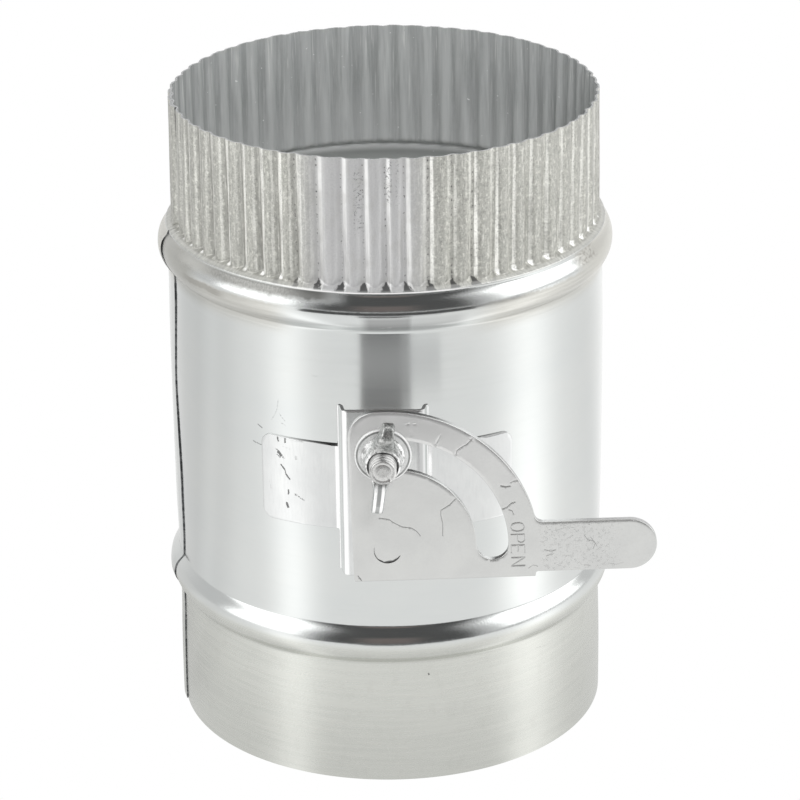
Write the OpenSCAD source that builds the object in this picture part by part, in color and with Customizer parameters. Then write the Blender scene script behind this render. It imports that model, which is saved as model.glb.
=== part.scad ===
// Manual inline duct damper: crimped and beaded sheet-metal sleeve, round
// blade on a cross shaft, and a slotted quadrant handle locked by a wing nut.
// Origin: centre of the plain end's rim. +Z runs up the duct to the crimped
// end. The quadrant faces -Y. Millimetres.

/* [Sleeve] */
// Outside diameter of the plain wall
duct_od = 101.6; // [100.6:0.2:102.6]
// Length from the plain rim to the crimped rim
duct_len = 152.4; // [150:0.2:156]
// Thickness of the galvanised sheet
wall_t = 0.5; // [0.4:0.05:0.6]
// Distance of each bead's middle from its own end of the sleeve
bead_inset = 35.2; // [34:0.1:36]
// How far a bead stands proud of the wall
bead_h = 1.9; // [1.4:0.1:2.0]
// Radius of a bead's rounded crown
bead_r = 5.2; // [4.6:0.1:6]
// Radius of the fillet at each foot of a bead
bead_fillet = 2.0; // [1.2:0.1:2.4]
// Length of the lap joint round the wall, in degrees
lap_deg = 15; // [8:0.5:16]

/* [Crimp] */
// Number of crimps round the male end
crimp_n = 62; // [48:1:72]
// Outside radius over the crests of the crimps
crimp_crest_r = 49.5; // [49:0.1:49.9]
// Depth of a crimp from crest to valley
crimp_depth = 1.3; // [0.8:0.1:1.6]
// Points that draw one crimp
crimp_pts = 6; // [4:2:8]

/* [Blade and shaft] */
// Height of the shaft above the plain rim
shaft_z = 61.6; // [58:0.2:66]
// Diameter of the round shaft
shaft_d = 6.2; // [5.6:0.1:6.4]
// Radial clearance of the shaft in its holes
shaft_gap = 0.08; // [0.03:0.01:0.1]
// Radius of the round blade
blade_r = 48.6; // [46:0.1:48.8]
// Thickness of the blade
blade_t = 0.8; // [0.6:0.1:1]
// Distance of each strap from the middle of the blade
strap_y = 25; // [18:1:32]

/* [Quadrant handle] */
// Angle that the handle is turned from shut in the stored position
handle_deg = 1.5; // [0:0.5:1.5]
// Thickness of the handle plate
handle_t = 1.5; // [1.2:0.1:1.5]
// Radius of the outer edge of the quadrant
quad_r = 34.0; // [33.4:0.1:34.6]
// Radius of the slot's middle line
slot_r = 22.7; // [22.6:0.05:22.8]
// Width of the slot
slot_w = 7.2; // [7.2:0.1:7.6]
// Distance from the shaft to the tip of the tab
tab_tip = 60.5; // [52:0.5:62]
// Radius of the tab's rounded end
tab_r = 6.1; // [5.8:0.1:6.2]

/* [Bracket] */
// Thickness of the bracket sheet
bracket_t = 0.9; // [0.8:0.05:1]
// Height of the platform's lower edge
bracket_z0 = 54.8; // [54:0.2:56]
// Height of the platform's upper edge
bracket_z1 = 95.3; // [94:0.2:96]
// Half the width of the platform's flat
platform_half = 7.95; // [7.6:0.05:8.1]
// Sideways offset of the bracket from the shaft
bracket_x = -0.65; // [-0.8:0.05:0]
// Lower edge of the welded ears
ear_z0 = 64.9; // [63:0.1:67]
// Upper edge of the welded ears
ear_z1 = 85.7; // [84:0.1:88]
// Angle from the middle to the end of an ear
ear_deg = 33.2; // [28:0.2:36]

/* [Lock hardware] */
// Height of the lock bolt above the plain rim
bolt_z = 85.5; // [85.4:0.02:85.6]
// Sideways place of the lock bolt
bolt_x = -0.7; // [-0.8:0.05:-0.6]
// Thread diameter of the lock bolt
bolt_d = 6.1; // [5.9:0.05:6.1]
// Place of the lock bolt's free end in front of the duct axis
bolt_tip = 65.7; // [64:0.1:68]
// Outside diameter of the flat washer
washer_d = 12.7; // [11:0.1:13]
// Thickness of the flat washer
washer_t = 1.0; // [0.8:0.1:1.0]
// Distance from the bolt axis to a wing's tip
wing_r = 10.8; // [10:0.1:12]
// Thickness of the wing nut's wings
wing_t = 2.9; // [2:0.1:3.4]
// Angle that the wing nut is turned clockwise from upright
wing_turn = 8; // [0:1:20]

/* [Hidden] */
$fn = 96;
R = duct_od/2;
t = wall_t;
z_bead1 = bead_inset;
z_bead2 = duct_len - bead_inset;
// bead section: crown centre radius, crown half angle and fillet height
bead_c = R + bead_h - bead_r;
bead_a = acos((R + bead_fillet - bead_c)/(bead_r + bead_fillet));
bead_dz = (bead_r + bead_fillet)*sin(bead_a);
// the shoulder that steps in from the upper bead to the crimps
sh_z0 = z_bead2 + bead_dz + 0.15;
valley_r = crimp_crest_r - crimp_depth;
sh_run = R - valley_r;
shoulder_rise = 0.5;   // for each millimetre of its run inwards
sh_z1 = sh_z0 + shoulder_rise*sh_run;
sh_len = sqrt(sh_run*sh_run + (sh_z1 - sh_z0)*(sh_z1 - sh_z0));
sh_n = [(sh_z1 - sh_z0)/sh_len, sh_run/sh_len];
// planes in front of the duct axis, as distances along -Y
platform_y = 54.0;
handle_y = platform_y + 0.05;
washer_y = handle_y + handle_t + 0.05;
nut_y = washer_y + washer_t;
nut_h = 5.9;
shaft_r = shaft_d/2;
hole_r = shaft_r + shaft_gap;
slot_c = [0.9, 0.95];

// ---- helpers ----------------------------------------------------------

// a bead's section at inward offset o, from its lower foot to its upper foot
function bead(zc, o, nf = 4, nb = 10) = concat(
    [for (i = [0:nf]) let (a = bead_a*i/nf)
        [R + bead_fillet - (bead_fillet + o)*cos(a),
         zc - bead_dz + (bead_fillet + o)*sin(a)]],
    [for (i = [1:nb - 1]) let (a = -bead_a + 2*bead_a*i/nb)
        [bead_c + (bead_r - o)*cos(a), zc + (bead_r - o)*sin(a)]],
    [for (i = [nf:-1:0]) let (a = bead_a*i/nf)
        [R + bead_fillet - (bead_fillet + o)*cos(a),
         zc + bead_dz - (bead_fillet + o)*sin(a)]]);

// the wall's face from the plain rim to the shoulder at inward offset o
function wall_face(o) = concat([[R - o, 0]], bead(z_bead1, o), bead(z_bead2, o));

// the crimped outline: crests outside, valleys inside, at inward offset o
function crimp_outline(o) = [for (i = [0:crimp_n*crimp_pts - 1])
    let (a = 0.35 + 360*i/(crimp_n*crimp_pts),
         r = crimp_crest_r - crimp_depth/2 - o
             - crimp_depth/2*cos(360*i/crimp_pts))
    [r*sin(a), -r*cos(a)]];

// points on an arc about [cx, cy]
function arc(cx, cy, r, a0, a1, n) =
    [for (i = [0:n]) let (a = a0 + (a1 - a0)*i/n) [cx + r*cos(a), cy + r*sin(a)]];

function rev(v) = [for (i = [len(v) - 1:-1:0]) v[i]];

// stands a drawing of the XY plane up, facing -Y, with its back face at y = -y0
module facing(y0) translate([0, -y0, 0]) rotate([90, 0, 0]) children();

// a drawing in the handle's own frame: origin on the shaft, u along the tab
module on_handle(y0) translate([0, 0, shaft_z]) facing(y0)
    rotate([0, 0, handle_deg]) children();

// ---- sleeve -----------------------------------------------------------

module wall() rotate_extrude() polygon(concat(
    wall_face(0),
    [[R, sh_z0], [valley_r - 0.3, sh_z1 + 0.3*shoulder_rise]],
    [[valley_r - 0.3 - t*sh_n[0], sh_z1 + 0.3*shoulder_rise - t*sh_n[1]],
     [R - t, sh_z0 - t*(1 - sh_n[0])/sh_n[1]]],
    rev(wall_face(t))));

// the outer layer of the lap joint, over both beads
module lap() rotate([0, 0, 195 - lap_deg]) rotate_extrude(angle = lap_deg)
    polygon(concat(
        [for (p = bead_lap(-t)) p],
        rev([for (p = bead_lap(t/2)) p])));
function bead_lap(o) = concat(wall_face(o), [[R - o, sh_z0 - 0.35]]);

// everything under the middle of the shoulder's thickness
module under_shoulder() rotate_extrude() polygon([
    [0, 100], [R + 1, 100],
    [R + 1, sh_z0 - shoulder_rise - 0.5*t*sh_n[1]],
    [valley_r - 1.5, sh_z1 + 1.5*shoulder_rise - 0.5*t*sh_n[1]],
    [0, sh_z1 + 1.5*shoulder_rise - 0.5*t*sh_n[1]]]);

module crimps() difference() {
    translate([0, 0, sh_z0 - 0.6])
        linear_extrude(height = duct_len - sh_z0 + 0.6)
            polygon(crimp_outline(0));
    under_shoulder();
}

module sleeve() color([0.78, 0.79, 0.79]) difference() {
    union() {
        wall();
        lap();
        crimps();
    }
    translate([0, 0, sh_z0 - 0.9])
        linear_extrude(height = duct_len - sh_z0 + 2)
            polygon(crimp_outline(t));
    // shaft holes through the near and far wall
    translate([0, -40, shaft_z]) rotate([90, 0, 0]) cylinder(r = hole_r, h = 20);
    translate([0, 60, shaft_z]) rotate([90, 0, 0]) cylinder(r = hole_r, h = 20);
}

// ---- bracket ----------------------------------------------------------

// one side of the folded section, from the platform's middle outwards.
// s is the side, e is the angle where the ear ends
bend_o = 1.5;
wall_lean = 10;
function place(p, s) = [s*p[0] + bracket_x, p[1]];
function bend_end(r) = [platform_half + r*cos(wall_lean),
                        -platform_y + bend_o - r*sin(wall_lean)];
function along(p, l) = [p[0] + l*sin(wall_lean), p[1] + l*cos(wall_lean)];
function on_wall(r, a, s) = [s*r*sin(a), -r*cos(a)];
ear_ri = R + 0.04;
function side_face(s) = concat(
    [for (p = arc(platform_half, -platform_y + bend_o, bend_o, -90, -wall_lean, 8)) place(p, s)],
    [place(along(bend_end(bend_o), 1.35), s)]);
function side_back(s) = concat(
    [for (p = arc(platform_half, -platform_y + bend_o, bend_o - bracket_t, -90, -wall_lean, 6)) place(p, s)],
    [place(along(bend_end(bend_o - bracket_t), 1.3), s)]);
// the folded strip as far as the wall, for the platform's full height
function hat_half(s) = concat(
    side_face(s),
    [place(along(bend_end(bend_o), 2.25), s),
     place(along(bend_end(bend_o - bracket_t), 2.35), s)],
    rev(side_back(s)));
// the same strip carried on along the wall as an ear
function ear_half(s) = concat(
    side_face(s),
    [place([10.0, -51.02], s), place([10.35, -50.83], s)],
    [for (i = [0:12]) on_wall(ear_ri + bracket_t, 12.8 + (ear_deg - 12.8)*i/12, s)],
    [for (i = [12:-1:0]) on_wall(ear_ri, 12.8 + (ear_deg - 12.8)*i/12, s)],
    [place([10.2, -49.98], s), place([9.35, -50.32], s)],
    rev(side_back(s)));

module platform_slab() linear_extrude(height = bracket_z1 - bracket_z0)
    union() {
        translate([bracket_x - platform_half - 0.01, -platform_y])
            square([2*platform_half + 0.02, bracket_t]);
        polygon(hat_half(1));
        polygon(hat_half(-1));
    }

// rounded outline of both ears, seen from the front
module ear_outline(r = 2.5) {
    w = (R + bracket_t)*sin(ear_deg);
    translate([-w - 1, ear_z0 + r]) square([2*w + 2, ear_z1 - ear_z0 - 2*r]);
    translate([-w + r, ear_z0]) square([2*w - 2*r, ear_z1 - ear_z0]);
    for (x = [-w + r, w - r], z = [ear_z0 + r, ear_z1 - r])
        translate([x, z]) circle(r = r, $fn = 32);
}

module quadrant_bracket() color([0.80, 0.81, 0.81]) difference() {
    union() {
        translate([0, 0, bracket_z0]) platform_slab();
        intersection() {
            translate([0, 0, ear_z0]) linear_extrude(height = ear_z1 - ear_z0)
                union() {
                    polygon(ear_half(1));
                    polygon(ear_half(-1));
                }
            translate([0, -30, 0]) rotate([90, 0, 0])
                linear_extrude(height = 30) ear_outline();
        }
    }
    // shaft hole
    translate([0, -52, shaft_z]) rotate([90, 0, 0]) cylinder(r = hole_r, h = 4);
    // square hole for the bolt's neck
    translate([bolt_x - bolt_d/2 - 0.05, -56, bolt_z - bolt_d/2 - 0.05])
        cube([bolt_d + 0.1, 4, bolt_d + 0.1]);
}

// ---- lock bolt, washer and wing nut -----------------------------------

module on_bolt(y0) translate([bolt_x, 0, bolt_z]) facing(y0) children();

module lock_bolt() color([0.70, 0.71, 0.70]) {
    // thin flat head in the gap behind the platform
    on_bolt(platform_y - bracket_t - 1.85) union() {
        rotate_extrude() polygon([[0, 0], [5.4, 0], [6.0, 0.5], [6.0, 1.8], [0, 1.8]]);
        // square neck in the platform
        translate([-bolt_d/2, -bolt_d/2, 1.2]) cube([bolt_d, bolt_d, 0.65 + bracket_t - 0.05]);
        // threaded shank with a chamfered end
        rotate_extrude() polygon([[0, 0.5], [bolt_d/2, 0.5],
            [bolt_d/2, shank_l - 0.55], [bolt_d/2 - 0.6, shank_l], [0, shank_l]]);
    }
}
shank_l = bolt_tip - (platform_y - bracket_t - 1.85);

module flat_washer() color([0.72, 0.73, 0.72]) on_bolt(washer_y)
    rotate_extrude() polygon([
        [bolt_d/2 + 0.25, 0], [washer_d/2, 0], [washer_d/2, washer_t - 0.15],
        [washer_d/2 - 0.15, washer_t], [bolt_d/2 + 0.25, washer_t]]);

// outline of one wing: distance from the axis, distance along the axis
function wing_outline() = concat(
    [[3.2, 0.9], [4.6, 0.9], [6.4, 1.7]],
    arc(wing_r - 2.7, 6.6, 2.7, -58, 128, 14),
    [[6.0, 7.3], [4.9, 5.9], [4.2, 5.5], [3.2, 5.5]]);

module wing_nut() color([0.68, 0.69, 0.68]) on_bolt(nut_y)
    rotate([0, 0, -wing_turn]) difference() {
        union() {
            rotate_extrude() polygon([[0, 0.02], [4.5, 0.02], [4.75, 0.3],
                [4.0, nut_h - 0.3], [3.7, nut_h], [0, nut_h]]);
            for (k = [0, 180]) rotate([0, 0, k]) rotate([90, 0, 90])
                translate([0, 0, -wing_t/2]) linear_extrude(height = wing_t)
                    polygon(wing_outline());
        }
        translate([0, 0, -1]) cylinder(r = bolt_d/2 + 0.05, h = nut_h + 2);
    }

// ---- damper: handle, shaft, blade -------------------------------------

// the quadrant's top corner: a fillet that touches the outer edge and the side
side_u = -7.8;
foot_v = -7.5;
tab_v = -0.2;
corner_r = 6.5;
corner_c = [side_u + corner_r,
            sqrt((quad_r - corner_r)*(quad_r - corner_r) - (side_u + corner_r)*(side_u + corner_r))];
// the hollow fillet between the outer edge and the tab
neck_r = 2;
neck_c = [sqrt((quad_r + neck_r)*(quad_r + neck_r) - (tab_v + tab_r + neck_r)*(tab_v + tab_r + neck_r)),
          tab_v + tab_r + neck_r];

// the slot's outline about its own centre, between two end angles
function slot_outline(r, w, a0, a1) = concat(
    arc(0, 0, r + w/2, a0, a1, 32),
    [for (i = [1:11]) let (a = a1 + 180*i/12)
        [r*cos(a1) + w/2*cos(a), r*sin(a1) + w/2*sin(a)]],
    arc(0, 0, r - w/2, a1, a0, 32),
    [for (i = [1:11]) let (a = a0 + 180 + 180*i/12)
        [r*cos(a0) + w/2*cos(a), r*sin(a0) + w/2*sin(a)]]);

module quadrant_handle() color([0.74, 0.75, 0.74]) on_handle(handle_y)
    difference() {
        union() {
            intersection() {
                cylinder(r = quad_r, h = handle_t, $fn = 180);
                translate([side_u, foot_v, -1]) cube([60, 60, 6]);
            }
            translate([20, tab_v - tab_r, 0])
                cube([tab_tip - tab_r - 20, 2*tab_r, handle_t]);
            translate([tab_tip - tab_r, tab_v, 0]) cylinder(r = tab_r, h = handle_t);
            linear_extrude(height = handle_t) polygon([
                [30, tab_v], [neck_c[0], tab_v], neck_c,
                neck_c*quad_r/(quad_r + neck_r)]);
        }
        translate([neck_c[0], neck_c[1], -1]) cylinder(r = neck_r, h = 4);
        difference() {
            translate([side_u - 1, corner_c[1], -1])
                cube([corner_c[0]*quad_r/(quad_r - corner_r) - side_u + 1, 20, 4]);
            translate([corner_c[0], corner_c[1], -2]) cylinder(r = corner_r, h = 6);
        }
        translate([slot_c[0], slot_c[1], -1]) linear_extrude(height = 4)
            polygon(slot_outline(slot_r, slot_w, -0.8, 94.2));
        translate([0, 0, -1]) cylinder(r = shaft_r, h = 4);
    }

// round shaft from the handle's front face to the far side of the duct
shaft_rear = R + 4.2;
module damper_shaft() color([0.66, 0.67, 0.66])
    translate([0, shaft_rear, shaft_z]) rotate([90, 0, 0]) rotate_extrude()
        polygon([[0, 0], [shaft_r - 0.5, 0], [shaft_r, 0.5],
                 [shaft_r, shaft_rear + handle_y + handle_t],
                 [0, shaft_rear + handle_y + handle_t]]);

// the blade lies under the shaft, and the straps hold it up to the shaft
module on_blade() translate([0, 0, shaft_z]) rotate([0, -handle_deg, 0]) children();
rivet_x = 8.0;
module damper_blade() color([0.76, 0.77, 0.77]) on_blade() difference() {
    translate([0, 0, -shaft_r - blade_t]) cylinder(r = blade_r, h = blade_t, $fn = 180);
    for (x = [-rivet_x, rivet_x], y = [-strap_y, strap_y])
        translate([x, y, -6]) cylinder(r = 1.6, h = 4);
}

// saddle strap: an arch over the shaft with a flat foot on each side
strap_t = 0.9;
strap_w = 11;
module strap() difference() {
    union() {
        rotate([90, 0, 0]) translate([0, 0, -strap_w/2]) cylinder(r = shaft_r + strap_t, h = strap_w);
        translate([-shaft_r - strap_t, -strap_w/2, -shaft_r])
            cube([2*(shaft_r + strap_t), strap_w, shaft_r]);
        translate([-rivet_x - 3.6, -strap_w/2, -shaft_r])
            cube([2*(rivet_x + 3.6), strap_w, strap_t]);
    }
    rotate([90, 0, 0]) translate([0, 0, -10]) cylinder(r = shaft_r, h = 20);
    translate([-shaft_r, -10, -shaft_r - 1]) cube([2*shaft_r, 20, shaft_r + 1]);
    for (x = [-rivet_x, rivet_x]) translate([x, 0, -6]) cylinder(r = 1.6, h = 8);
    // rounded corners of the feet
    for (x = [-1, 1], y = [-1, 1]) difference() {
        translate([x*(rivet_x + 2.6) - 1.5, y*(strap_w/2 - 0.5) - 1.5, -4]) cube([3, 3, 3]);
        translate([x*(rivet_x + 1.6), y*(strap_w/2 - 2), -5]) cylinder(r = 2, h = 5);
        translate([x*rivet_x - 1.6, -10, -5]) cube([3.2, 20, 5]);
        translate([-30, -strap_w/2 + 2, -5]) cube([60, strap_w - 4, 5]);
    }
}
module blade_strap_front() color([0.70, 0.71, 0.70]) on_blade() translate([0, -strap_y, 0]) strap();
module blade_strap_rear() color([0.70, 0.71, 0.70]) on_blade() translate([0, strap_y, 0]) strap();

// domed rivet through a strap's foot and the blade
rivet_top = -shaft_r + strap_t;
module rivet(x, y) color([0.62, 0.63, 0.62]) on_blade() translate([x, y, 0])
    rotate_extrude() polygon(concat(
        [[0, -shaft_r - blade_t - 0.9], [1.9, -shaft_r - blade_t - 0.9],
         [2.4, -shaft_r - blade_t - 0.5], [2.4, -shaft_r - blade_t],
         [1.6, -shaft_r - blade_t], [1.6, rivet_top]],
        [for (i = [0:5]) [3.0*cos(15*i), rivet_top + 1.3*sin(15*i)]],
        [[0, rivet_top + 1.3]]));
module strap_rivet_1() rivet(-rivet_x, -strap_y);
module strap_rivet_2() rivet(rivet_x, -strap_y);
module strap_rivet_3() rivet(-rivet_x, strap_y);
module strap_rivet_4() rivet(rivet_x, strap_y);

// push-on retainer: a flat rim and a cap over the shaft's end
module rear_push_nut() color([0.70, 0.71, 0.70])
    translate([0, R + 0.6, shaft_z]) rotate([-90, 0, 0]) rotate_extrude()
        polygon([[shaft_r, 0], [7.0, 0], [7.0, 0.6], [4.6, 0.6], [4.1, 1.1],
                 [4.1, 3.6], [3.6, 4.3], [0, 4.3], [0, 3.65], [shaft_r, 3.65]]);

sleeve();
quadrant_bracket();
lock_bolt();
flat_washer();
wing_nut();
quadrant_handle();
damper_shaft();
damper_blade();
blade_strap_front();
blade_strap_rear();
strap_rivet_1();
strap_rivet_2();
strap_rivet_3();
strap_rivet_4();
rear_push_nut();
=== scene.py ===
import math

import bpy
import numpy as np
from mathutils import Matrix, Vector
from mathutils.geometry import delaunay_2d_cdt

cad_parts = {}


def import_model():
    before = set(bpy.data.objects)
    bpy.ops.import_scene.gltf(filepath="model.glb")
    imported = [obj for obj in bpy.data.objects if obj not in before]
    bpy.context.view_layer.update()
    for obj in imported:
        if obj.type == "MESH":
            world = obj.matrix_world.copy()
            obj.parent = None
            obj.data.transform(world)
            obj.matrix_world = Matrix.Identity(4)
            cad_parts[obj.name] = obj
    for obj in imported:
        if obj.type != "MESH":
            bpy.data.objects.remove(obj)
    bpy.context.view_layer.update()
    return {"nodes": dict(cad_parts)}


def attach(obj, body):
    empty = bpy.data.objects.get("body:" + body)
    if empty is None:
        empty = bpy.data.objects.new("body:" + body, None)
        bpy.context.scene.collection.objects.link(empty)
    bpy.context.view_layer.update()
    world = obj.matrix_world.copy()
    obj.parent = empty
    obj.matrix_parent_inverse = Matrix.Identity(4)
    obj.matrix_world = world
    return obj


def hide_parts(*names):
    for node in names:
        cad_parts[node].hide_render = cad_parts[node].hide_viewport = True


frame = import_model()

# Millimetres throughout; a mesh is scaled to metres when its object is made.
MM = 0.001
TAU = 2 * math.pi
R = 50.8            # outside radius of the plain wall
SHEET_T = 0.45      # drawn thickness of the sleeve's sheet
SHAFT_Z = 61.6
BOLT = (-0.7, 85.5)  # x, z of the lock bolt
HANDLE_BACK, HANDLE_FRONT = -54.05, -55.55
HANDLE_DEG = 1.5


# ---- mesh helpers -----------------------------------------------------------

def smooth01(a, b, x):
    t = np.clip((np.asarray(x, float) - a) / (b - a), 0, 1)
    return t * t * (3 - 2 * t)


def smax(a, b, k):
    h = np.clip(k - np.abs(a - b), 0, None) / k
    return np.maximum(a, b) + h * h * k * 0.25


def smin(a, b, k):
    return -smax(-a, -b, k)


def curve_through(xs, ys, x):
    """Smooth curve through points, without overshoot (monotone cubic)."""
    xs, ys, x = np.asarray(xs, float), np.asarray(ys, float), np.asarray(x, float)
    h = np.diff(xs)
    d = np.diff(ys) / h
    m = np.zeros(len(xs))
    m[0], m[-1] = d[0], d[-1]
    for i in range(1, len(xs) - 1):
        if d[i - 1] * d[i] > 0:
            w1, w2 = 2 * h[i] + h[i - 1], h[i] + 2 * h[i - 1]
            m[i] = (w1 + w2) / (w1 / d[i - 1] + w2 / d[i])
    i = np.clip(np.searchsorted(xs, x) - 1, 0, len(h) - 1)
    t = np.clip((x - xs[i]) / h[i], 0, 1)
    return ((1 + 2 * t) * (1 - t) ** 2 * ys[i] + t * (1 - t) ** 2 * h[i] * m[i]
            + t * t * (3 - 2 * t) * ys[i + 1] + t * t * (t - 1) * h[i] * m[i + 1])


def hash01(n, seed=0.0):
    """A repeatable number in 0..1 for each n."""
    v = np.sin(np.asarray(n, float) * 12.9898 + seed * 78.233 + 4.1) * 43758.5453
    return v - np.floor(v)


def wobble(a, b, seed, n=7):
    """Smooth repeatable unevenness, about -1..1, of two coordinates in radians."""
    out = 0.0
    for i in range(n):
        fa = 1 + math.floor(5 * hash01(i, seed))
        fb = 0.6 + 2.6 * hash01(i, seed + 1)
        out = out + np.sin(fa * a + fb * b + TAU * hash01(i, seed + 2)) * (0.5 + hash01(i, seed + 3))
    return out / n


class Mesh:
    """Collects points in millimetres, faces and their material index."""

    def __init__(self):
        self.v, self.f, self.m, self.attr = [], [], [], []

    def add(self, pts, attr=None):
        start = len(self.v)
        pts = np.asarray(pts, float).reshape(-1, 3)
        self.v.extend(map(tuple, pts))
        if attr is None:
            attr = np.zeros((len(pts), 3))
        self.attr.extend(map(tuple, np.asarray(attr, float).reshape(-1, 3)))
        return np.arange(start, start + len(pts))

    def face(self, ids, mat=0):
        self.f.append([int(i) for i in ids])
        self.m.append(mat)

    def grid(self, ids, mat=0, flip=False, close=False, skip=None):
        """Faces over a 2-D array of point numbers."""
        rows, cols = ids.shape
        for i in range(rows - 1):
            for j in range(cols if close else cols - 1):
                if skip is not None and skip(i, j):
                    continue
                k = (j + 1) % cols
                q = [ids[i, j], ids[i, k], ids[i + 1, k], ids[i + 1, j]]
                self.face(q[::-1] if flip else q, mat)

    def zipper(self, a, pa, b, pb, mat=0, flip=False):
        """Triangles and quads between two rows of points with rising parameters."""
        i = j = 0
        while i < len(a) - 1 or j < len(b) - 1:
            if i < len(a) - 1 and j < len(b) - 1 and abs(pa[i + 1] - pb[j + 1]) < 1e-6:
                q = [a[i], a[i + 1], b[j + 1], b[j]]
                i, j = i + 1, j + 1
            elif j >= len(b) - 1 or (i < len(a) - 1 and pa[i + 1] <= pb[j + 1]):
                q = [a[i], a[i + 1], b[j]]
                i += 1
            else:
                q = [a[i], b[j + 1], b[j]]
                j += 1
            self.face(q[::-1] if flip else q, mat)

    def build(self, name, mats, body, replaces=(), slot=None, sharp=35.0, attr_name="sheet"):
        me = bpy.data.meshes.new(name)
        me.from_pydata([(x * MM, y * MM, z * MM) for x, y, z in self.v], [], self.f)
        for m in mats:
            me.materials.append(m)
        me.polygons.foreach_set("material_index", self.m)
        a = me.attributes.new(attr_name, "FLOAT_VECTOR", "POINT")
        a.data.foreach_set("vector", np.asarray(self.attr, np.float32).ravel())
        me.validate(verbose=False)
        import bmesh
        bm = bmesh.new()
        bm.from_mesh(me)
        bmesh.ops.remove_doubles(bm, verts=bm.verts, dist=2e-7)
        bmesh.ops.dissolve_degenerate(bm, dist=1e-8, edges=bm.edges)
        bmesh.ops.recalc_face_normals(bm, faces=bm.faces)
        bm.to_mesh(me)
        bm.free()
        me.polygons.foreach_set("use_smooth", [True] * len(me.polygons))
        me.set_sharp_from_angle(angle=math.radians(sharp))
        me.update()
        return place(name, me, body, replaces)


def place(name, me, body, replaces):
    ob = bpy.data.objects.new(name, me)
    bpy.context.scene.collection.objects.link(ob)
    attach(ob, body)
    if replaces:
        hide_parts(*replaces)
    return ob


def inside(poly, x, y):
    c = False
    n = len(poly)
    for i in range(n):
        x1, y1 = poly[i]
        x2, y2 = poly[(i + 1) % n]
        if (y1 > y) != (y2 > y) and x < (x2 - x1) * (y - y1) / (y2 - y1) + x1:
            c = not c
    return c


def fill(outer, holes, extra_pts=(), extra_lines=()):
    """Triangulates the area inside outer and outside holes. Returns points and
    triangles; the loops' points come first, in order, as they were given."""
    pts, edges = [], []
    for loop in [outer] + list(holes):
        s = len(pts)
        pts += [Vector(p) for p in loop]
        edges += [(s + i, s + (i + 1) % len(loop)) for i in range(len(loop))]
    n_loop = len(pts)
    for line in extra_lines:
        s = len(pts)
        pts += [Vector(p) for p in line]
        edges += [(s + i, s + i + 1) for i in range(len(line) - 1)]
    pts += [Vector(p) for p in extra_pts]
    v, _, tri, orig, _, _ = delaunay_2d_cdt(pts, edges, [], 0, 1e-5)
    where = {}
    for i, o in enumerate(orig):
        for k in o:
            where[k] = i
    keep = []
    hole_polys = [[tuple(p) for p in h] for h in holes]
    out_poly = [tuple(p) for p in outer]
    for t in tri:
        cx = sum(v[i][0] for i in t) / 3
        cy = sum(v[i][1] for i in t) / 3
        if inside(out_poly, cx, cy) and not any(inside(h, cx, cy) for h in hole_polys):
            keep.append(tuple(t))
    return [(p[0], p[1]) for p in v], keep, [where[i] for i in range(n_loop)]


def offset_loop(loop, d):
    """Moves a closed counter-clockwise loop inwards by d."""
    p = np.asarray(loop, float)
    a, b = np.roll(p, 1, 0), np.roll(p, -1, 0)
    e1, e2 = p - a, b - p
    e1 /= np.linalg.norm(e1, axis=1)[:, None] + 1e-12
    e2 /= np.linalg.norm(e2, axis=1)[:, None] + 1e-12
    n1 = np.stack([-e1[:, 1], e1[:, 0]], 1)
    n2 = np.stack([-e2[:, 1], e2[:, 0]], 1)
    n = n1 + n2
    n /= np.clip((n * n).sum(1) / 2, 0.35, None)[:, None]
    return p + n * d


def arc(cx, cy, r, a0, a1, n):
    return [(cx + r * math.cos(math.radians(a0 + (a1 - a0) * i / n)),
             cy + r * math.sin(math.radians(a0 + (a1 - a0) * i / n))) for i in range(n + 1)]


def lathe(profile, cols, to_world, mesh, mat=0, attr=None, closed=True):
    """Turns a profile of (radius, height) points; points on the axis become one point."""
    rings = []
    for r, h in profile:
        if r < 1e-6:
            rings.append(mesh.add([to_world(0, 0, h)]))
        else:
            rings.append(mesh.add([to_world(r * math.cos(TAU * j / cols), r * math.sin(TAU * j / cols), h)
                                   for j in range(cols)]))
    for a, b in zip(rings[:-1], rings[1:]):
        if len(a) == 1 and len(b) == 1:
            continue
        for j in range(cols):
            k = (j + 1) % cols
            if len(a) == 1:
                mesh.face([a[0], b[k], b[j]], mat)
            elif len(b) == 1:
                mesh.face([a[j], a[k], b[0]], mat)
            else:
                mesh.face([a[j], a[k], b[k], b[j]], mat)
    return rings


# ---- materials --------------------------------------------------------------

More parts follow.
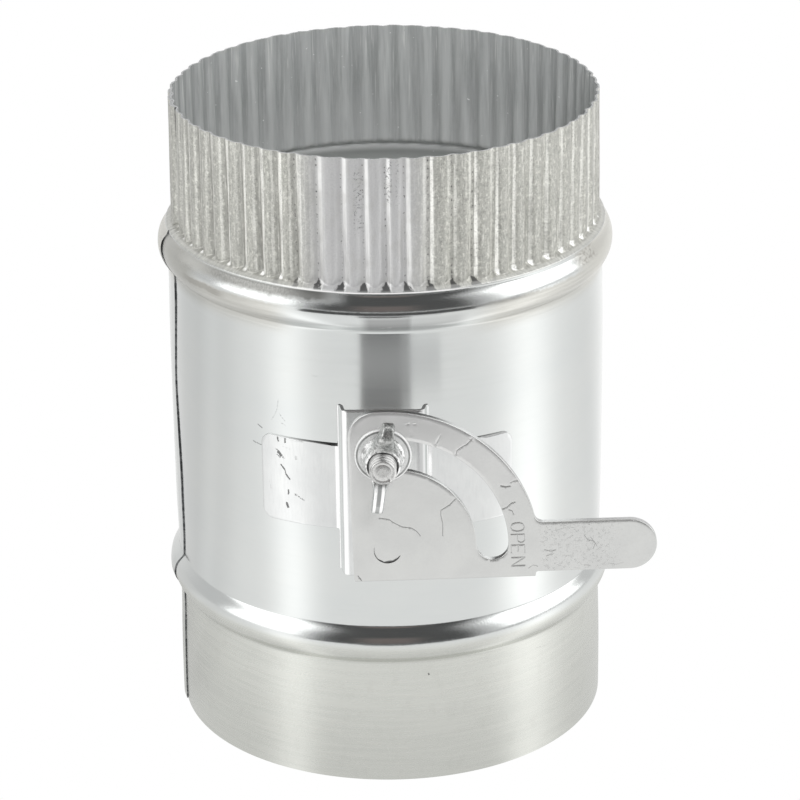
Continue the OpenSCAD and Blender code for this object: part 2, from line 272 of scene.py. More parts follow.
class Mat:
    """A small hand for building node materials."""

    def __init__(self, name):
        self.mat = bpy.data.materials.new(name)
        self.mat.use_nodes = True
        self.nt = self.mat.node_tree
        self.nt.nodes.clear()
        self.out = self.nt.nodes.new("ShaderNodeOutputMaterial")
        self.bsdf = self.nt.nodes.new("ShaderNodeBsdfPrincipled")
        self.nt.links.new(self.bsdf.outputs[0], self.out.inputs[0])

    def node(self, kind, **props):
        n = self.nt.nodes.new(kind)
        for k, v in props.items():
            setattr(n, k, v)
        return n

    def link(self, a, b):
        self.nt.links.new(a, b)

    def put(self, socket, value):
        if isinstance(value, bpy.types.NodeSocket):
            self.link(value, socket)
        else:
            socket.default_value = value

    def math(self, op, a, b=None, c=None, clamp=False):
        n = self.node("ShaderNodeMath", operation=op, use_clamp=clamp)
        self.put(n.inputs[0], a)
        if b is not None:
            self.put(n.inputs[1], b)
        if c is not None:
            self.put(n.inputs[2], c)
        return n.outputs[0]

    def vmath(self, op, a, b=None):
        n = self.node("ShaderNodeVectorMath", operation=op)
        self.put(n.inputs[0], a)
        if b is not None:
            self.put(n.inputs[1], b)
        return n.outputs["Value"] if op in ("LENGTH", "DOT_PRODUCT", "DISTANCE") else n.outputs[0]

    def ramp(self, x, lo, hi, a=0.0, b=1.0, kind="SMOOTHSTEP"):
        n = self.node("ShaderNodeMapRange", interpolation_type=kind)
        self.put(n.inputs["Value"], x)
        n.inputs["From Min"].default_value = lo
        n.inputs["From Max"].default_value = hi
        self.put(n.inputs["To Min"], a)
        self.put(n.inputs["To Max"], b)
        return n.outputs[0]

    def attribute(self, name="sheet"):
        return self.node("ShaderNodeAttribute", attribute_name=name).outputs["Vector"]

    def split(self, v):
        n = self.node("ShaderNodeSeparateXYZ")
        self.link(v, n.inputs[0])
        return n.outputs

    def join(self, x, y, z):
        n = self.node("ShaderNodeCombineXYZ")
        for s, v in zip(n.inputs, (x, y, z)):
            self.put(s, v)
        return n.outputs[0]

    def scaled(self, v, s, offset=(0, 0, 0)):
        n = self.node("ShaderNodeMapping")
        self.link(v, n.inputs["Vector"])
        n.inputs["Scale"].default_value = s
        n.inputs["Location"].default_value = offset
        return n.outputs[0]

    def noise(self, v, scale=1.0, detail=3.0, rough=0.5, distort=0.0):
        n = self.node("ShaderNodeTexNoise")
        self.link(v, n.inputs["Vector"])
        n.inputs["Scale"].default_value = scale
        n.inputs["Detail"].default_value = detail
        n.inputs["Roughness"].default_value = rough
        n.inputs["Distortion"].default_value = distort
        return n.outputs[0]

    def voronoi(self, v, scale=1.0, feature="F1"):
        n = self.node("ShaderNodeTexVoronoi", feature=feature)
        self.link(v, n.inputs["Vector"])
        n.inputs["Scale"].default_value = scale
        return n

    def mix(self, f, a, b, blend="MIX"):
        n = self.node("ShaderNodeMix", data_type="RGBA", blend_type=blend)
        self.put(n.inputs[0], f)
        for s, c in ((n.inputs[6], a), (n.inputs[7], b)):
            self.put(s, c if isinstance(c, bpy.types.NodeSocket) else (*c[:3], 1.0))
        return n.outputs[2]

    def mixf(self, f, a, b):
        n = self.node("ShaderNodeMix", data_type="FLOAT")
        self.put(n.inputs[0], f)
        self.put(n.inputs[2], a)
        self.put(n.inputs[3], b)
        return n.outputs[0]

    def bump(self, height, distance, strength=1.0, normal=None):
        n = self.node("ShaderNodeBump")
        n.inputs["Strength"].default_value = strength
        n.inputs["Distance"].default_value = distance
        self.link(height, n.inputs["Height"])
        if normal is not None:
            self.link(normal, n.inputs["Normal"])
        return n.outputs[0]

    def metal(self, color, rough, normal=None, metallic=1.0):
        b = self.bsdf.inputs
        self.put(b["Metallic"], metallic)
        self.put(b["Base Color"], color if isinstance(color, bpy.types.NodeSocket) else (*color, 1.0))
        self.put(b["Roughness"], rough)
        if normal is not None:
            self.link(normal, b["Normal"])
        return self.mat


def marks(m, uv, segs, jitter=0.5, soft=0.12):
    """Mask of small ragged marks along short lines, given as (a, b, radius, break-up)."""
    n1 = m.noise(m.scaled(uv, (1.7, 1.7, 1)), 1, 3, 0.6)
    n2 = m.noise(m.scaled(uv, (3.1, 3.1, 1), (5, 2, 0)), 1, 2, 0.6)
    total = None
    for (x1, y1), (x2, y2), r, gaps in segs:
        pa = m.vmath("SUBTRACT", m.vmath("MULTIPLY", uv, (1, 1, 0)), (x1, y1, 0))
        dx, dy = x2 - x1, y2 - y1
        ll = dx * dx + dy * dy + 1e-9
        t = m.math("MULTIPLY", m.vmath("DOT_PRODUCT", pa, (dx, dy, 0)), 1 / ll, clamp=True)
        near = m.node("ShaderNodeVectorMath", operation="SCALE")
        near.inputs[0].default_value = (dx, dy, 0)
        m.link(t, near.inputs["Scale"])
        d = m.vmath("DISTANCE", pa, near.outputs[0])
        d = m.math("ADD", d, m.math("MULTIPLY", m.math("SUBTRACT", n1, 0.5), jitter * 2 * r / 0.4))
        k = m.ramp(d, r + soft, r - soft)
        if gaps:
            k = m.math("MULTIPLY", k, m.ramp(n2, 0.5 - 0.14 + 0.2 * gaps, 0.5 + 0.2 * gaps))
        total = k if total is None else m.math("MAXIMUM", total, k)
    return total


PITCH = 360 / 62    # the crimps' pitch in degrees
PHASE = 0.35


def sheet_outside():
    """The sleeve's outer face: glossy between the beads, satin on the plain
    collar and dull, mottled and grained on the crimps."""
    m = Mat("sleeve_zinc_outside")
    uv = m.attribute()
    s, z, w = m.split(uv)
    flat = m.vmath("MULTIPLY", uv, (1, 1, 0))

    def times(*a):
        out = a[0]
        for b in a[1:]:
            out = m.math("MULTIPLY", out, b)
        return out

    def window(x, a, b, c, d):
        """0 up to a, 1 from b to c, 0 again from d."""
        return times(m.ramp(x, a, b), m.ramp(x, d, c))
    crimp = m.ramp(z, 121.7, 122.5)
    collar = m.ramp(z, 36.4, 34.4)
    # turned away from the middle the zinc is yellower and grainier
    side = m.ramp(m.math("ABSOLUTE", m.math("ADD", s, 4.0)), 8.5, 18.0)
    cloud = m.noise(m.scaled(flat, (0.035, 0.05, 1)), 1, 3, 0.55)
    streak = m.noise(m.scaled(flat, (0.05, 1.1, 1)), 1, 3, 0.5)
    fine = m.noise(m.scaled(flat, (0.35, 5.0, 1)), 1, 3, 0.6)
    grain = m.noise(m.scaled(flat, (2.6, 2.0, 1)), 1, 4, 0.72)
    grit = m.noise(m.scaled(flat, (3.6, 2.2, 1), (7, 3, 0)), 1, 2, 0.6)
    lump = m.noise(m.scaled(flat, (1.3, 1.5, 1), (4, 8, 0)), 1, 3, 0.6)
    runs = m.noise(m.scaled(flat, (1.5, 0.13, 1)), 1, 3, 0.6)
    blot = m.noise(m.scaled(flat, (0.32, 0.20, 1), (2, 9, 0)), 1, 3, 0.55)
    dash = m.noise(m.scaled(flat, (1.5, 0.8, 1), (6, 5, 0)), 1, 2, 0.55)
    each = m.noise(m.scaled(flat, (0.23, 0.012, 1), (1, 3, 0)), 1, 1, 0.5)
    # place within one crimp: 0 in a groove's middle, 0.5 on the crest
    ph = m.math("FRACT", m.math("ADD", m.math("MULTIPLY", s, 180 / math.pi / R / PITCH), 8 - PHASE / PITCH))
    # colours
    wall = m.mix(m.ramp(cloud, 0.3, 0.7), (0.675, 0.695, 0.69), (0.70, 0.715, 0.705))
    wall = m.mix(m.ramp(streak, 0.45, 0.8, 0.0, 0.12), wall, (0.64, 0.655, 0.645))
    low = m.mix(m.ramp(streak, 0.3, 0.7), (0.625, 0.635, 0.60), (0.66, 0.668, 0.63))
    low = m.mix(m.ramp(fine, 0.4, 0.85, 0.0, 0.2), low, (0.70, 0.70, 0.67))
    low = m.mix(m.ramp(blot, 0.5, 0.75, 0.0, 0.25), low, (0.56, 0.565, 0.53))
    dull = m.mix(m.ramp(grain, 0.32, 0.68), (0.36, 0.36, 0.33), (0.54, 0.54, 0.50))
    dull = m.mix(m.ramp(runs, 0.52, 0.34, 0.0, 0.40), dull, (0.33, 0.33, 0.305))
    dull = m.mix(times(m.ramp(dash, 0.42, 0.35), 0.50), dull, (0.78, 0.78, 0.72))
    dull = m.mix(times(m.ramp(dash, 0.57, 0.64), 0.50), dull, (0.24, 0.24, 0.225))
    west = m.ramp(s, -6.0, -14.0)
    # painted shade: on the left the grooves are drawn darker than the crests
    off = m.math("MINIMUM", ph, m.math("SUBTRACT", 1.0, ph))
    dull = m.mix(times(m.ramp(off, 0.17, 0.08), west, m.ramp(grain, 0.36, 0.56), 0.42), dull, (0.27, 0.27, 0.255))
    # painted highlights: bright lines along one flank of each crimp, stronger on the left
    line = m.math("MAXIMUM", times(window(ph, 0.07, 0.11, 0.18, 0.24), m.ramp(west, 1.0, 0.0)),
                  times(window(ph, 0.77, 0.81, 0.90, 0.94), m.mixf(west, 0.5, 0.0)))
    line = m.math("MAXIMUM", line, m.math("MAXIMUM", times(window(ph, 0.10, 0.15, 0.33, 0.39), west, 1.0),
                                          times(window(ph, 0.69, 0.74, 0.80, 0.85), west, 0.42)))
    line = times(line, m.ramp(m.math("ADD", m.math("MULTIPLY", grain, 0.5), runs), 0.52, 0.84, 0.30, 1.0))
    line = times(line, m.ramp(each, 0.38, 0.58, 0.40, 1.0), m.ramp(z, 122.9, 123.9), m.ramp(s, 26.0, 40.0, 1.0, 0.5))
    dull = m.mix(times(line, 0.95), dull, (0.98, 0.98, 0.93))
    # the left half carries finer bright runs, the right half dark mottling
    dull = m.mix(times(m.ramp(runs, 0.54, 0.66), 0.40), dull, (0.74, 0.74, 0.69))
    far = m.ramp(s, 6.0, 14.0)
    dull = m.mix(times(m.ramp(lump, 0.56, 0.64), m.ramp(grain, 0.44, 0.56), far, m.ramp(s, 42.0, 34.0), 0.62), dull, (0.20, 0.20, 0.19))
    dull = m.mix(times(m.ramp(grit, 0.60, 0.68), 0.55), dull, (0.17, 0.165, 0.15))
    calm = m.mix(m.ramp(grain, 0.3, 0.7), (0.475, 0.475, 0.48), (0.54, 0.54, 0.538))
    calm = m.mix(m.ramp(runs, 0.45, 0.7, 0.0, 0.3), calm, (0.61, 0.61, 0.605))
    # painted highlight: a bright strip on one flank of each crimp; painted shade on the other flank
    strip = window(ph, 0.06, 0.12, 0.22, 0.30)
    calm = m.mix(times(strip, m.ramp(runs, 0.35, 0.65, 0.62, 0.9)), calm, (0.88, 0.88, 0.87))
    calm = m.mix(times(window(ph, 0.78, 0.86, 0.94, 0.99), 0.35), calm, (0.42, 0.42, 0.425))
    # a few grooves near the middle are scuffed
    scuff = m.math("MAXIMUM", times(window(s, -7.2, -6.8, -5.4, -4.8), window(z, 134, 137, 148, 151)),
                   times(window(s, 0.2, 0.6, 1.9, 2.4), window(z, 141, 143, 151, 153)))
    scuff = m.math("MAXIMUM", scuff, times(window(s, 3.0, 3.4, 3.9, 4.4), window(z, 139, 141, 151, 153), 0.6))
    calm = m.mix(times(scuff, m.ramp(lump, 0.50, 0.60), m.ramp(grit, 0.44, 0.56), 0.9), calm, (0.17, 0.17, 0.175))
    top = m.mix(side, calm, dull)
    top = m.mix(m.ramp(blot, 0.45, 0.72, 0.0, 0.30), top, (0.40, 0.395, 0.37))
    # painted shade where the middle grooves run out on the shoulder;
    # further round, painted highlights on the crests' ends
    w0 = m.ramp(z, 122.0, 123.9, 0.27, -0.02, "LINEAR")
    rag = m.math("ADD", times(m.math("SUBTRACT", lump, 0.5), 0.42), times(m.math("SUBTRACT", grain, 0.5), 0.16))
    w0 = times(w0, m.ramp(s, -22.0, -9.0, 0.6, 1.0))
    pit_shade = m.ramp(m.math("SUBTRACT", m.math("ADD", w0, rag), off), -0.02, 0.05)
    mid = m.ramp(m.math("ABSOLUTE", m.math("SUBTRACT", s, 3.0)), 25.0, 17.5)
    pit_shade = times(pit_shade, m.ramp(z, 121.8, 122.3), m.ramp(s, -33.0, -14.0, 0.0, 0.95), m.ramp(s, 28.0, 20.5))
    top = m.mix(pit_shade, top, (0.075, 0.075, 0.075))
    end = times(window(ph, 0.03, 0.09, 0.22, 0.30), window(z, 122.7, 123.0, 123.7, 124.3), m.ramp(mid, 1.0, 0.4),
                m.ramp(lump, 0.36, 0.48), m.ramp(each, 0.36, 0.50, 0.35, 1.0))
    # painted highlight: a thin bright line along the lip at the sides
    lip_highlight = times(window(z, 122.25, 122.4, 122.55, 122.75), side, 0.2)
    top = m.mix(m.math("MAXIMUM", end, lip_highlight), top, (0.98, 0.98, 0.96))
    # the upper bead is worn on both sides: brown under the ledge, beige below
    warp = m.math("ADD", z, m.math("ADD", times(m.math("SUBTRACT", blot, 0.5), 1.4), times(m.math("SUBTRACT", lump, 0.5), 0.9)))
    ends = m.math("MAXIMUM", m.ramp(s, -45.0, -53.0), m.ramp(s, 47.0, 53.0))
    under = times(m.math("MAXIMUM", window(s, -58.0, -50.0, -27.0, -19.0), m.ramp(s, 17.0, 27.0)), m.ramp(warp, 118.5, 117.6))
    worn = times(m.math("MAXIMUM", ends, under), window(z, 109.0, 113.5, 121.7, 122.2))
    tan = m.mix(m.ramp(streak, 0.35, 0.65), (0.57, 0.565, 0.53), (0.645, 0.64, 0.605))
    tan = m.mix(m.ramp(fine, 0.45, 0.8, 0.0, 0.3), tan, (0.50, 0.495, 0.46))
    tan = m.mix(m.ramp(s, -44.0, -52.0, 0.0, 0.8), tan, (0.47, 0.47, 0.44))
    tan = m.mix(m.ramp(s, 50.0, 60.0, 0.0, 0.7), tan, (0.66, 0.65, 0.60))
    brown = m.math("MAXIMUM", times(window(s, -55.0, -51.0, -41.0, -37.0), window(warp, 116.0, 116.7, 117.5, 118.2)),
                   times(window(s, 45.0, 49.0, 57.0, 61.0), m.ramp(warp, 118.6, 119.4), m.ramp(lump, 0.46, 0.56)))
    tan = m.mix(times(brown, 0.6), tan, (0.34, 0.33, 0.30))
    # painted dark reflection: a matt wedge under the left half's ledge
    dark_reflection_wedge = times(window(s, -60.0, -52.0, -15.0, -7.0), m.ramp(warp, 119.0, 120.5), m.ramp(z, 122.0, 121.6))
    dark_reflection_col = m.mix(m.ramp(grain, 0.35, 0.65), (0.22, 0.22, 0.21), (0.35, 0.35, 0.33))
    dark_reflection_col = m.mix(m.ramp(s, -40.0, -50.0, 0.0, 0.85), dark_reflection_col, (0.44, 0.44, 0.415))
    dark_reflection_col = m.mix(m.ramp(s, -27.0, -16.0), dark_reflection_col, (0.115, 0.115, 0.11))
    col = m.mix(collar, wall, low)
    col = m.mix(worn, col, tan)
    col = m.mix(dark_reflection_wedge, col, dark_reflection_col)
    # shade of the hardware on the upper bead's underside
    low_shade = m.math("MAXIMUM", times(window(s, -5.8, -3.0, 4.8, 6.8), 0.62), times(window(s, 4.0, 6.0, 15.0, 19.0), 0.24))
    col = m.mix(times(low_shade, window(z, 112.4, 113.6, 116.0, 117.4)), col, (0.22, 0.22, 0.22))
    col = m.mix(crimp, col, top)
    # small marks: beside and above the left ear, and on the collar
    k = marks(m, uv, [((-32.3, 82.4), (-29.9, 82.0), 0.13, 0.2), ((-30.9, 86.9), (-29.8, 86.3), 0.10, 0.0),
                      ((9.1, 27.2), (9.15, 27.1), 0.20, 0.0)])
    faint = marks(m, uv, [((-25.2, 94.1), (-25.7, 91.4), 0.10, 0.35), ((-25.7, 91.4), (-27.0, 89.0), 0.12, 0.45),
                          ((-25.0, 90.8), (-23.6, 89.2), 0.13, 0.45), ((-24.6, 88.6), (-23.5, 88.2), 0.10, 0.3),
                          ((37.8, 27.2), (41.2, 26.5), 0.13, 0.6), ((-17.0, 101.5), (-15.2, 101.2), 0.08, 0.5)])
    col = m.mix(m.math("MAXIMUM", times(k, 0.85), times(faint, 0.38)), col, (0.10, 0.10, 0.10))
    # roughness
    r_wall = m.ramp(streak, 0.2, 0.8, 0.11, 0.15, "LINEAR")
    r_low = m.ramp(streak, 0.2, 0.8, 0.24, 0.31, "LINEAR")
    r_top = m.ramp(grain, 0.2, 0.8, 0.32, 0.48, "LINEAR")
    rough = m.mixf(collar, r_wall, r_low)
    rough = m.mixf(worn, rough, 0.27)
    rough = m.mixf(crimp, rough, r_top)
    # the ledge's edge catches the light in front
    ledge = times(window(z, 121.78, 121.90, 122.04, 122.16), m.ramp(s, -28.0, -16.0), m.ramp(s, 26.0, 12.0), 0.75)
    col = m.mix(ledge, col, (0.95, 0.94, 0.93))
    # relief: drawing lines across the sheet below, grain and dents on the
    # crimps, a hammered sparkle on the upper halves of the beads
    h = m.math("MULTIPLY", fine, m.mixf(collar, 0.05, 0.35))
    h = m.math("ADD", h, m.math("MULTIPLY", streak, m.mixf(collar, 0.10, 0.5)))
    spark = m.math("MAXIMUM", window(z, 35.4, 36.6, 40.6, 41.6), window(z, 117.4, 118.6, 121.4, 121.9))
    h = m.math("ADD", h, times(grain, spark, 1.6))
    h = m.math("ADD", h, times(grain, worn, 2.0))
    h = m.mixf(crimp, h, m.math("ADD", m.math("MULTIPLY", grain, m.mixf(side, 2.5, 4.0)), m.math("MULTIPLY", runs, 4.0)))
    nrm = m.bump(h, 0.000012, 1.0)
    metallic = m.mixf(dark_reflection_wedge, m.mixf(m.math("MAXIMUM", collar, worn), 1.0, 0.92), 0.15)
    # the painted highlights on the crimps are made less metallic so their colour shows
    metallic = m.mixf(crimp, metallic, m.mixf(m.math("MAXIMUM", times(line, side), end), 0.5, 0.2))
    metallic = m.mixf(ledge, metallic, 0.15)
    return m.metal(col, rough, nrm, metallic)


def sheet_inside():
    m = Mat("sleeve_zinc_inside")
    uv = m.attribute()
    s, z, w = m.split(uv)
    flat = m.vmath("MULTIPLY", uv, (1, 1, 0))
    wide = m.noise(m.scaled(flat, (0.55, 0.025, 1), (3, 1, 0)), 1, 3, 0.6)
    runs = m.noise(m.scaled(flat, (1.3, 0.06, 1)), 1, 3, 0.6)
    thin = m.noise(m.scaled(flat, (2.2, 0.07, 1), (5, 2, 0)), 1, 2, 0.5)
    fine = m.noise(m.scaled(flat, (4.0, 0.6, 1)), 1, 3, 0.6)
    cloud = m.noise(m.scaled(flat, (0.08, 0.06, 1)), 1, 2, 0.5)
    spots = m.noise(m.scaled(flat, (0.9, 0.9, 1)), 1, 2, 0.4)
    crimps = m.ramp(z, 121.6, 123.2)
    # light and dark bands in step with the crimps: painted shading of the folds, broken up by streaks
    mix = m.math("ADD", m.math("MULTIPLY", m.math("SUBTRACT", w, 0.5), m.ramp(z, 124, 150, 0.75, 0.42)),
                 m.math("ADD", m.math("MULTIPLY", m.math("SUBTRACT", wide, 0.5), 1.5),
                        m.math("MULTIPLY", m.math("SUBTRACT", runs, 0.5), 1.5)))
    band = m.ramp(mix, -0.55, 0.62)
    col = m.mix(band, (0.33, 0.343, 0.34), (0.58, 0.595, 0.588))
    col = m.mix(m.math("MULTIPLY", m.ramp(thin, 0.60, 0.70), m.ramp(z, 126, 150, 0.25, 0.75)), col, (0.76, 0.77, 0.75))
    col = m.mix(m.ramp(fine, 0.35, 0.75, 0.0, 0.22), col, (0.60, 0.61, 0.605))
    col = m.mix(m.ramp(cloud, 0.3, 0.7, 0.0, 0.3), col, (0.43, 0.44, 0.445))
    col = m.mix(m.ramp(z, 140.0, 124.0, 0.0, 0.30), col, (0.74, 0.75, 0.745))
    # a pale arc round the groove's lower end, then the smooth wall under it
    foot = m.math("MULTIPLY", m.ramp(m.math("ADD", w, m.ramp(z, 122.2, 124.6, 0.0, -1.0, "LINEAR")), 0.02, 0.25),
                  m.ramp(z, 121.9, 122.4))
    col = m.mix(m.math("MULTIPLY", foot, 0.6), col, (0.60, 0.61, 0.60))
    plain = m.mix(m.ramp(z, 119.2, 121.2), (0.46, 0.475, 0.465), (0.86, 0.87, 0.865))
    col = m.mix(crimps, plain, col)
    col = m.mix(m.ramp(spots, 0.74, 0.78), col, (0.85, 0.86, 0.85))
    rough = m.ramp(fine, 0.2, 0.8, 0.26, 0.40, "LINEAR")
    h = m.math("MULTIPLY", m.math("ADD", m.math("MULTIPLY", fine, 1.6), m.math("MULTIPLY", runs, 2.5)), crimps)
    return m.metal(col, rough, m.bump(h, 0.000012, 1.0), 0.35)


def cut_edge():
    m = Mat("sheet_cut_edge")
    tc = m.node("ShaderNodeTexCoord").outputs["Object"]
    n = m.noise(tc, 2500, 3, 0.6)
    col = m.mix(m.ramp(n, 0.35, 0.65), (0.42, 0.43, 0.43), (0.66, 0.67, 0.67))
    return m.metal(col, m.ramp(n, 0.2, 0.8, 0.30, 0.5, "LINEAR"), m.bump(n, 0.00002))


def seam_edge():
    # the lap's cut edge: its darkness is partly the bare edge's own tone and partly painted shade of the gap under it
    m = Mat("lap_edge_dark")
    tc = m.node("ShaderNodeTexCoord").outputs["Object"]
    n = m.noise(tc, 900, 3, 0.6)
    col = m.mix(m.ramp(n, 0.35, 0.65), (0.10, 0.105, 0.11), (0.34, 0.345, 0.35))
    z = m.math("MULTIPLY", m.split(tc)[2], 1000.0)
    bare = m.math("MULTIPLY", m.ramp(z, 109.6, 111.2), m.ramp(z, 117.2, 115.4))
    col = m.mix(m.math("MULTIPLY", bare, 0.85), col, (0.66, 0.665, 0.66))
    return m.metal(col, 0.5, m.bump(n, 0.00002))


def zinc_plate(name, tone, lo, hi, scale=1.0, speck=0.0, streaks=(1, 1, 1), grain_h=0.000006, tint=(0, 0, 0),
               metallic=1.0):
    """Zinc on a small part, from its own object coordinates."""
    m = Mat(name)
    tc = m.node("ShaderNodeTexCoord").outputs["Object"]
    v = m.scaled(tc, (1000 * streaks[0], 1000 * streaks[1], 1000 * streaks[2]))
    cloud = m.noise(v, 0.22 * scale, 3, 0.55)
    grain = m.noise(v, 3.2 * scale, 4, 0.65)
    fine = m.noise(v, 9.0 * scale, 2, 0.5)
    a = tuple(tone * 0.93 + t for t in tint)
    b = tuple(min(tone * 1.06 + t, 0.95) for t in tint)
    col = m.mix(m.ramp(cloud, 0.3, 0.7), a, b)
    col = m.mix(m.ramp(grain, 0.4, 0.8, 0.0, 0.35), col, tuple(tone * 0.82 + t for t in tint))
    if speck:
        col = m.mix(m.math("MULTIPLY", m.ramp(fine, 0.66, 0.74), speck), col, (0.14, 0.14, 0.14))
    rough = m.ramp(grain, 0.25, 0.75, lo, hi, "LINEAR")
    h = m.math("ADD", grain, m.math("MULTIPLY", fine, 0.5))
    return m.metal(col, rough, m.bump(h, grain_h), metallic)


MAT_OUT, MAT_IN, MAT_CUT, MAT_SEAM = sheet_outside(), sheet_inside(), cut_edge(), seam_edge()


# ---- sleeve -----------------------------------------------------------------

C0, C1 = -189, 588      # first and last crimp column, 12 to a crimp
VALLEY_SHIFT = {-3: -0.3, -2: 0.42, -1: 0.34, 0: 0.15, 1: -0.8, 2: -0.45, 3: 0.05, 4: -0.1, 5: 0.4}


def bead_at(z, zc):
    dz = np.abs(np.asarray(z, float) - zc)
    return np.where(dz < 4.9, 47.5 + np.sqrt(np.clip(27.04 - dz * dz, 1e-4, None)), 47.5 + 1.74 - (dz - 4.9) * 3)


def wall_base(z):
    return curve_through(
        [0, 3, 10, 18, 22, 26, 30, 35, 41, 45, 50, 58, 80, 92, 99, 105, 109, 113, 117, 120.6, 121.4, 130],
        [50.80, 50.80, 50.77, 50.66, 50.54, 50.44, 50.42, 50.52, 50.50, 50.55, 50.66, 50.73, 50.75, 50.72,
         50.64, 50.52, 50.46, 50.5, 50.62, 50.97, 51.0, 51.0], z)


def wall_r(z, soft=False):
    """Outer radius of the wall, beads and shoulder, without crimps or lap."""
    z = np.asarray(z, float)
    r = smax(wall_base(z), bead_at(z, 35.2), 1.0)
    r = np.where(z > 76, smax(wall_base(z), bead_at(z, 117.2), np.where(z > 117.2, 0.55, 1.0)), r)
    cone = 50.8 - (z - 122.22) / 0.5
    return np.minimum(r, 52.7) if False else smin(r, cone, 0.6 if soft else 0.14)


def crimp_t(c):
    """Angle of crimp column c with the crimps' small unevenness."""
    k = np.floor(np.asarray(c, float) / 12).astype(int)
    t = np.asarray(c, float) / 12 - k

    def shift(n):
        n = np.asarray(n)
        base = (hash01(n % 62, 3.0) - 0.5) * 0.9
        for kk, sv in VALLEY_SHIFT.items():
            base = np.where(n == kk, sv, base)
        base = np.where((n == 49) | (n == -13), 0.0, base)
        return base
    return shift(k) * (1 - t) + shift(k + 1) * t


def crimp_r(c, z, extra=0.0):
    c, z = np.asarray(c, float), np.asarray(z, float)
    k = np.floor(c / 12 + 0.5).astype(int)
    t = c / 12
    # narrow grooves between broad crests; they spread where they run out below
    valley = (0.5 + 0.5 * np.cos(TAU * t)) ** (1.3 + 0.9 * smooth01(122.6, 127.0, z))
    depth = (1.28 - 0.72 * smooth01(127, 152.4, z)) * (1 + 0.32 * (hash01(k % 62, 5.0) - 0.5))
    crest = 49.62 - 0.30 * smooth01(126, 152.4, z) + 0.10 * (hash01(np.floor(t) % 62, 9.0) - 0.5)
    bend = 0.05 * np.sin(z * 0.21 + 5 * hash01(k % 62, 11.0))
    return crest - depth * valley + bend * valley - extra


FREE_EDGE = ([0, 3, 15, 29, 50, 60, 73, 85, 95, 106, 112.5, 115, 117.5, 119.7, 122, 124.5, 152.4],
             [-78.6, -78.8, -78.4, -78.6, -74.6, -74.3, -75.6, -76.9, -75.3, -74.1, -74.0, -75.8, -78.0, -78.8, -78.0,
              -75.13, -75.13])


def lap_thin(c):
    """The sheet is a little thinner along the lap's sheared free edge."""
    return smooth01(281.0, 284.6, PHASE + PITCH * np.asarray(c, float) / 12)


def sleeve_point(c, z, inner):
    """Point(s) of the sheet's outer face at column c and height z."""
    c, z = np.broadcast_arrays(np.asarray(c, float), np.asarray(z, float))
    th = PHASE + PITCH * c / 12
    up = smooth01(121.6, 123.8, z)
    th = th + crimp_t(c) * up
    # the free edge of the lap wanders a little down the wall
    near = smooth01(268, 284.87, PHASE + PITCH * c / 12)
    th = th + near * (curve_through(*FREE_EDGE, z) + 75.13)
    a, b = np.radians(PHASE + PITCH * c / 12), z / 24.0
    rr = wall_r(z, soft=inner)
    rr = rr + 0.030 * wobble(a, b, 2.0) * (1 - up)
    # the outer layer climbs over the inner one; in the crimps they share it
    over = smooth01(254, 267.5, PHASE + PITCH * c / 12)
    under = smooth01(-66, -74, PHASE + PITCH * c / 12)
    shoulder = smooth01(121.0, 122.6, z)
    rr = rr + (over * (0.49 - 0.33 * shoulder) - lap_thin(c) * 0.20 * (1 - shoulder)) * (1 - up)
    rr = rr + smooth01(282.2, 284.9, PHASE + PITCH * c / 12) * (1 - shoulder) * (
        0.02 + 0.025 * np.sin(z * 0.11 + 1.0) * smooth01(0, 20, z))
    cr = crimp_r(c, z) + up * (over * 0.24 - under * 0.24)
    rr = np.where(z > 121.9, smax(rr, cr, 0.30), rr)
    t = np.radians(th)
    return np.stack([rr * np.sin(t), -rr * np.cos(t), z], -1)


def sleeve_face(c, z, inner):
    p = sleeve_point(c, z, inner)
    if not inner:
        return p
    e = 0.05
    du = sleeve_point(c + 0.5, z, True) - sleeve_point(c - 0.5, z, True)
    dv = sleeve_point(c, z + e, True) - sleeve_point(c, z - e, True)
    n = np.cross(du, dv)
    n /= np.linalg.norm(n, axis=-1)[..., None]
    thick = SHEET_T - 0.20 * lap_thin(c) * (1 - smooth01(120.4, 122.0, z))
    q = p - n * np.broadcast_to(thick, p.shape[:-1])[..., None]
    q[..., 2] = p[..., 2] + (q[..., 2] - p[..., 2]) * smooth01(0, 1.5, p[..., 2]) * smooth01(152.4, 150.5, p[..., 2])
    return q


def sleeve_attr(c, z, inner):
    c, z = np.broadcast_arrays(np.asarray(c, float), np.asarray(z, float))
    wave = (0.5 + 0.5 * np.cos(TAU * c / 12)) * smooth01(121.7, 122.1, z)
    return np.stack([np.radians(PHASE + PITCH * c / 12) * R, z, wave], -1)


def rows(*parts):
    out = []
    for a, b, n in parts:
        out += [a + (b - a) * i / n for i in range(n)]
    return out + [parts[-1][1]]


